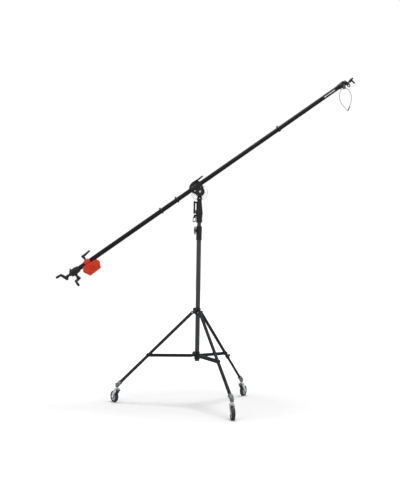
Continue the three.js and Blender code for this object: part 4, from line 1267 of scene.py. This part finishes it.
def tip_spigot():
    eye = across(8, TILT_X, TILT_Z, 8, soft=0.8, segments=40)
    start, end = Vector((TILT_X, 0, TILT_Z)), Vector((1812, 0, 51))
    length = (end - start).length
    stud = lathe(
        [(0, 0), (7.5, 0), (7.5, length - 22), (6.2, length - 20), (6.2, length - 16), (7.5, length - 14),
         (7.5, length - 1.6), (6, length), (0, length)],
        0.7,
        40,
    ).at(aimed(start, end))
    body = eye + stud + bar(13, (1763, 0, 39.2), (1797, 0, 47.4), 12.4, soft=2, segments=40)
    body += bar(7.6, (1786, 0, 45), (1797.4, 0, 5), 7, soft=0.8)
    body += ball(7.6, (1797.6, 0, 4.4))
    body -= cross_hole(3.9, TILT_X, TILT_Z, 20)
    show("tip_spigot", body, BOOM)


boom_tube()
tail_gearbox()
counterweight()
tip_head()
tip_yoke()
tip_spigot()

# ------------------------------------------------------------------ stage and light


FLOOR_SIZE = 90
FLOOR_GAP = 0.0005
FLOOR_TONES = ((0.45, 0.45, 0.45), (0.465, 0.465, 0.465))
# Painted light on the floor: its emission rises from nothing at the first radius (m from the column) to full
# strength at the second, so the far floor glows white.
PAINTED_LIGHT_STARTS, PAINTED_LIGHT_ENDS = 0.75, 4.5
FLOOR_PAINTED_LIGHT = 0.75
SKY = 1.01
LIT_HEIGHT = 1.0


def stage():
    bm = bmesh.new()
    bmesh.ops.create_grid(bm, x_segments=6, y_segments=6, size=FLOOR_SIZE)
    mesh = bpy.data.meshes.new("floor")
    bm.to_mesh(mesh)
    bm.free()
    floor = add_object("floor", mesh)
    floor.location = (COLUMN.x, COLUMN.y, CAD_BOX[0][2] - FLOOR_GAP)
    paper = Nodes("floor_paper")
    tone = paper.mix(paper.noise(0.7), *FLOOR_TONES)
    paper.link(tone, paper.shader.inputs["Base Color"])
    paper.shader.inputs["Roughness"].default_value = 0.9
    paper.shader.inputs["Specular IOR Level"].default_value = 0
    paper.shader.inputs["Emission Color"].default_value = (1, 1, 1, 1)
    # Painted light: the floor glows more with distance from the column, so the far floor blends into the
    # white sky while the near floor keeps its lamp shadows.
    where = paper.add("TexCoord")
    reach = paper.add("VectorMath", operation="LENGTH")
    paper.link(where.outputs["Object"], reach.inputs[0])
    painted_floor_light = paper.spread(reach.outputs["Value"], 0, FLOOR_PAINTED_LIGHT, PAINTED_LIGHT_STARTS, PAINTED_LIGHT_ENDS)
    paper.link(painted_floor_light, paper.shader.inputs["Emission Strength"])
    mesh.materials.append(paper.material)

    world = bpy.data.worlds.new("studio")
    bpy.context.scene.world = world
    world.use_nodes = True
    background = world.node_tree.nodes["Background"]
    background.inputs["Color"].default_value = (1, 1, 1, 1)
    background.inputs["Strength"].default_value = SKY

    lights = {
        "key": ((-3.4, -4.2, 2.2), 1.6, 80),
        "fill": ((3.6, -3.2, 1.6), 1.2, 25),
        "top": ((0.15, 0.1, 4.4), 2.0, 310),
    }
    target = Vector((COLUMN.x, COLUMN.y, LIT_HEIGHT))
    for name, (place, size, power) in lights.items():
        data = bpy.data.lights.new(name, "AREA")
        data.shape = "DISK"
        data.size = size
        data.energy = power
        light = add_object(name, data)
        light.location = target + Vector(place)
        light.rotation_mode = "QUATERNION"
        light.rotation_quaternion = (target - light.location).to_track_quat("-Z", "Y")
    bpy.context.scene.view_settings.view_transform = "Standard"


stage()
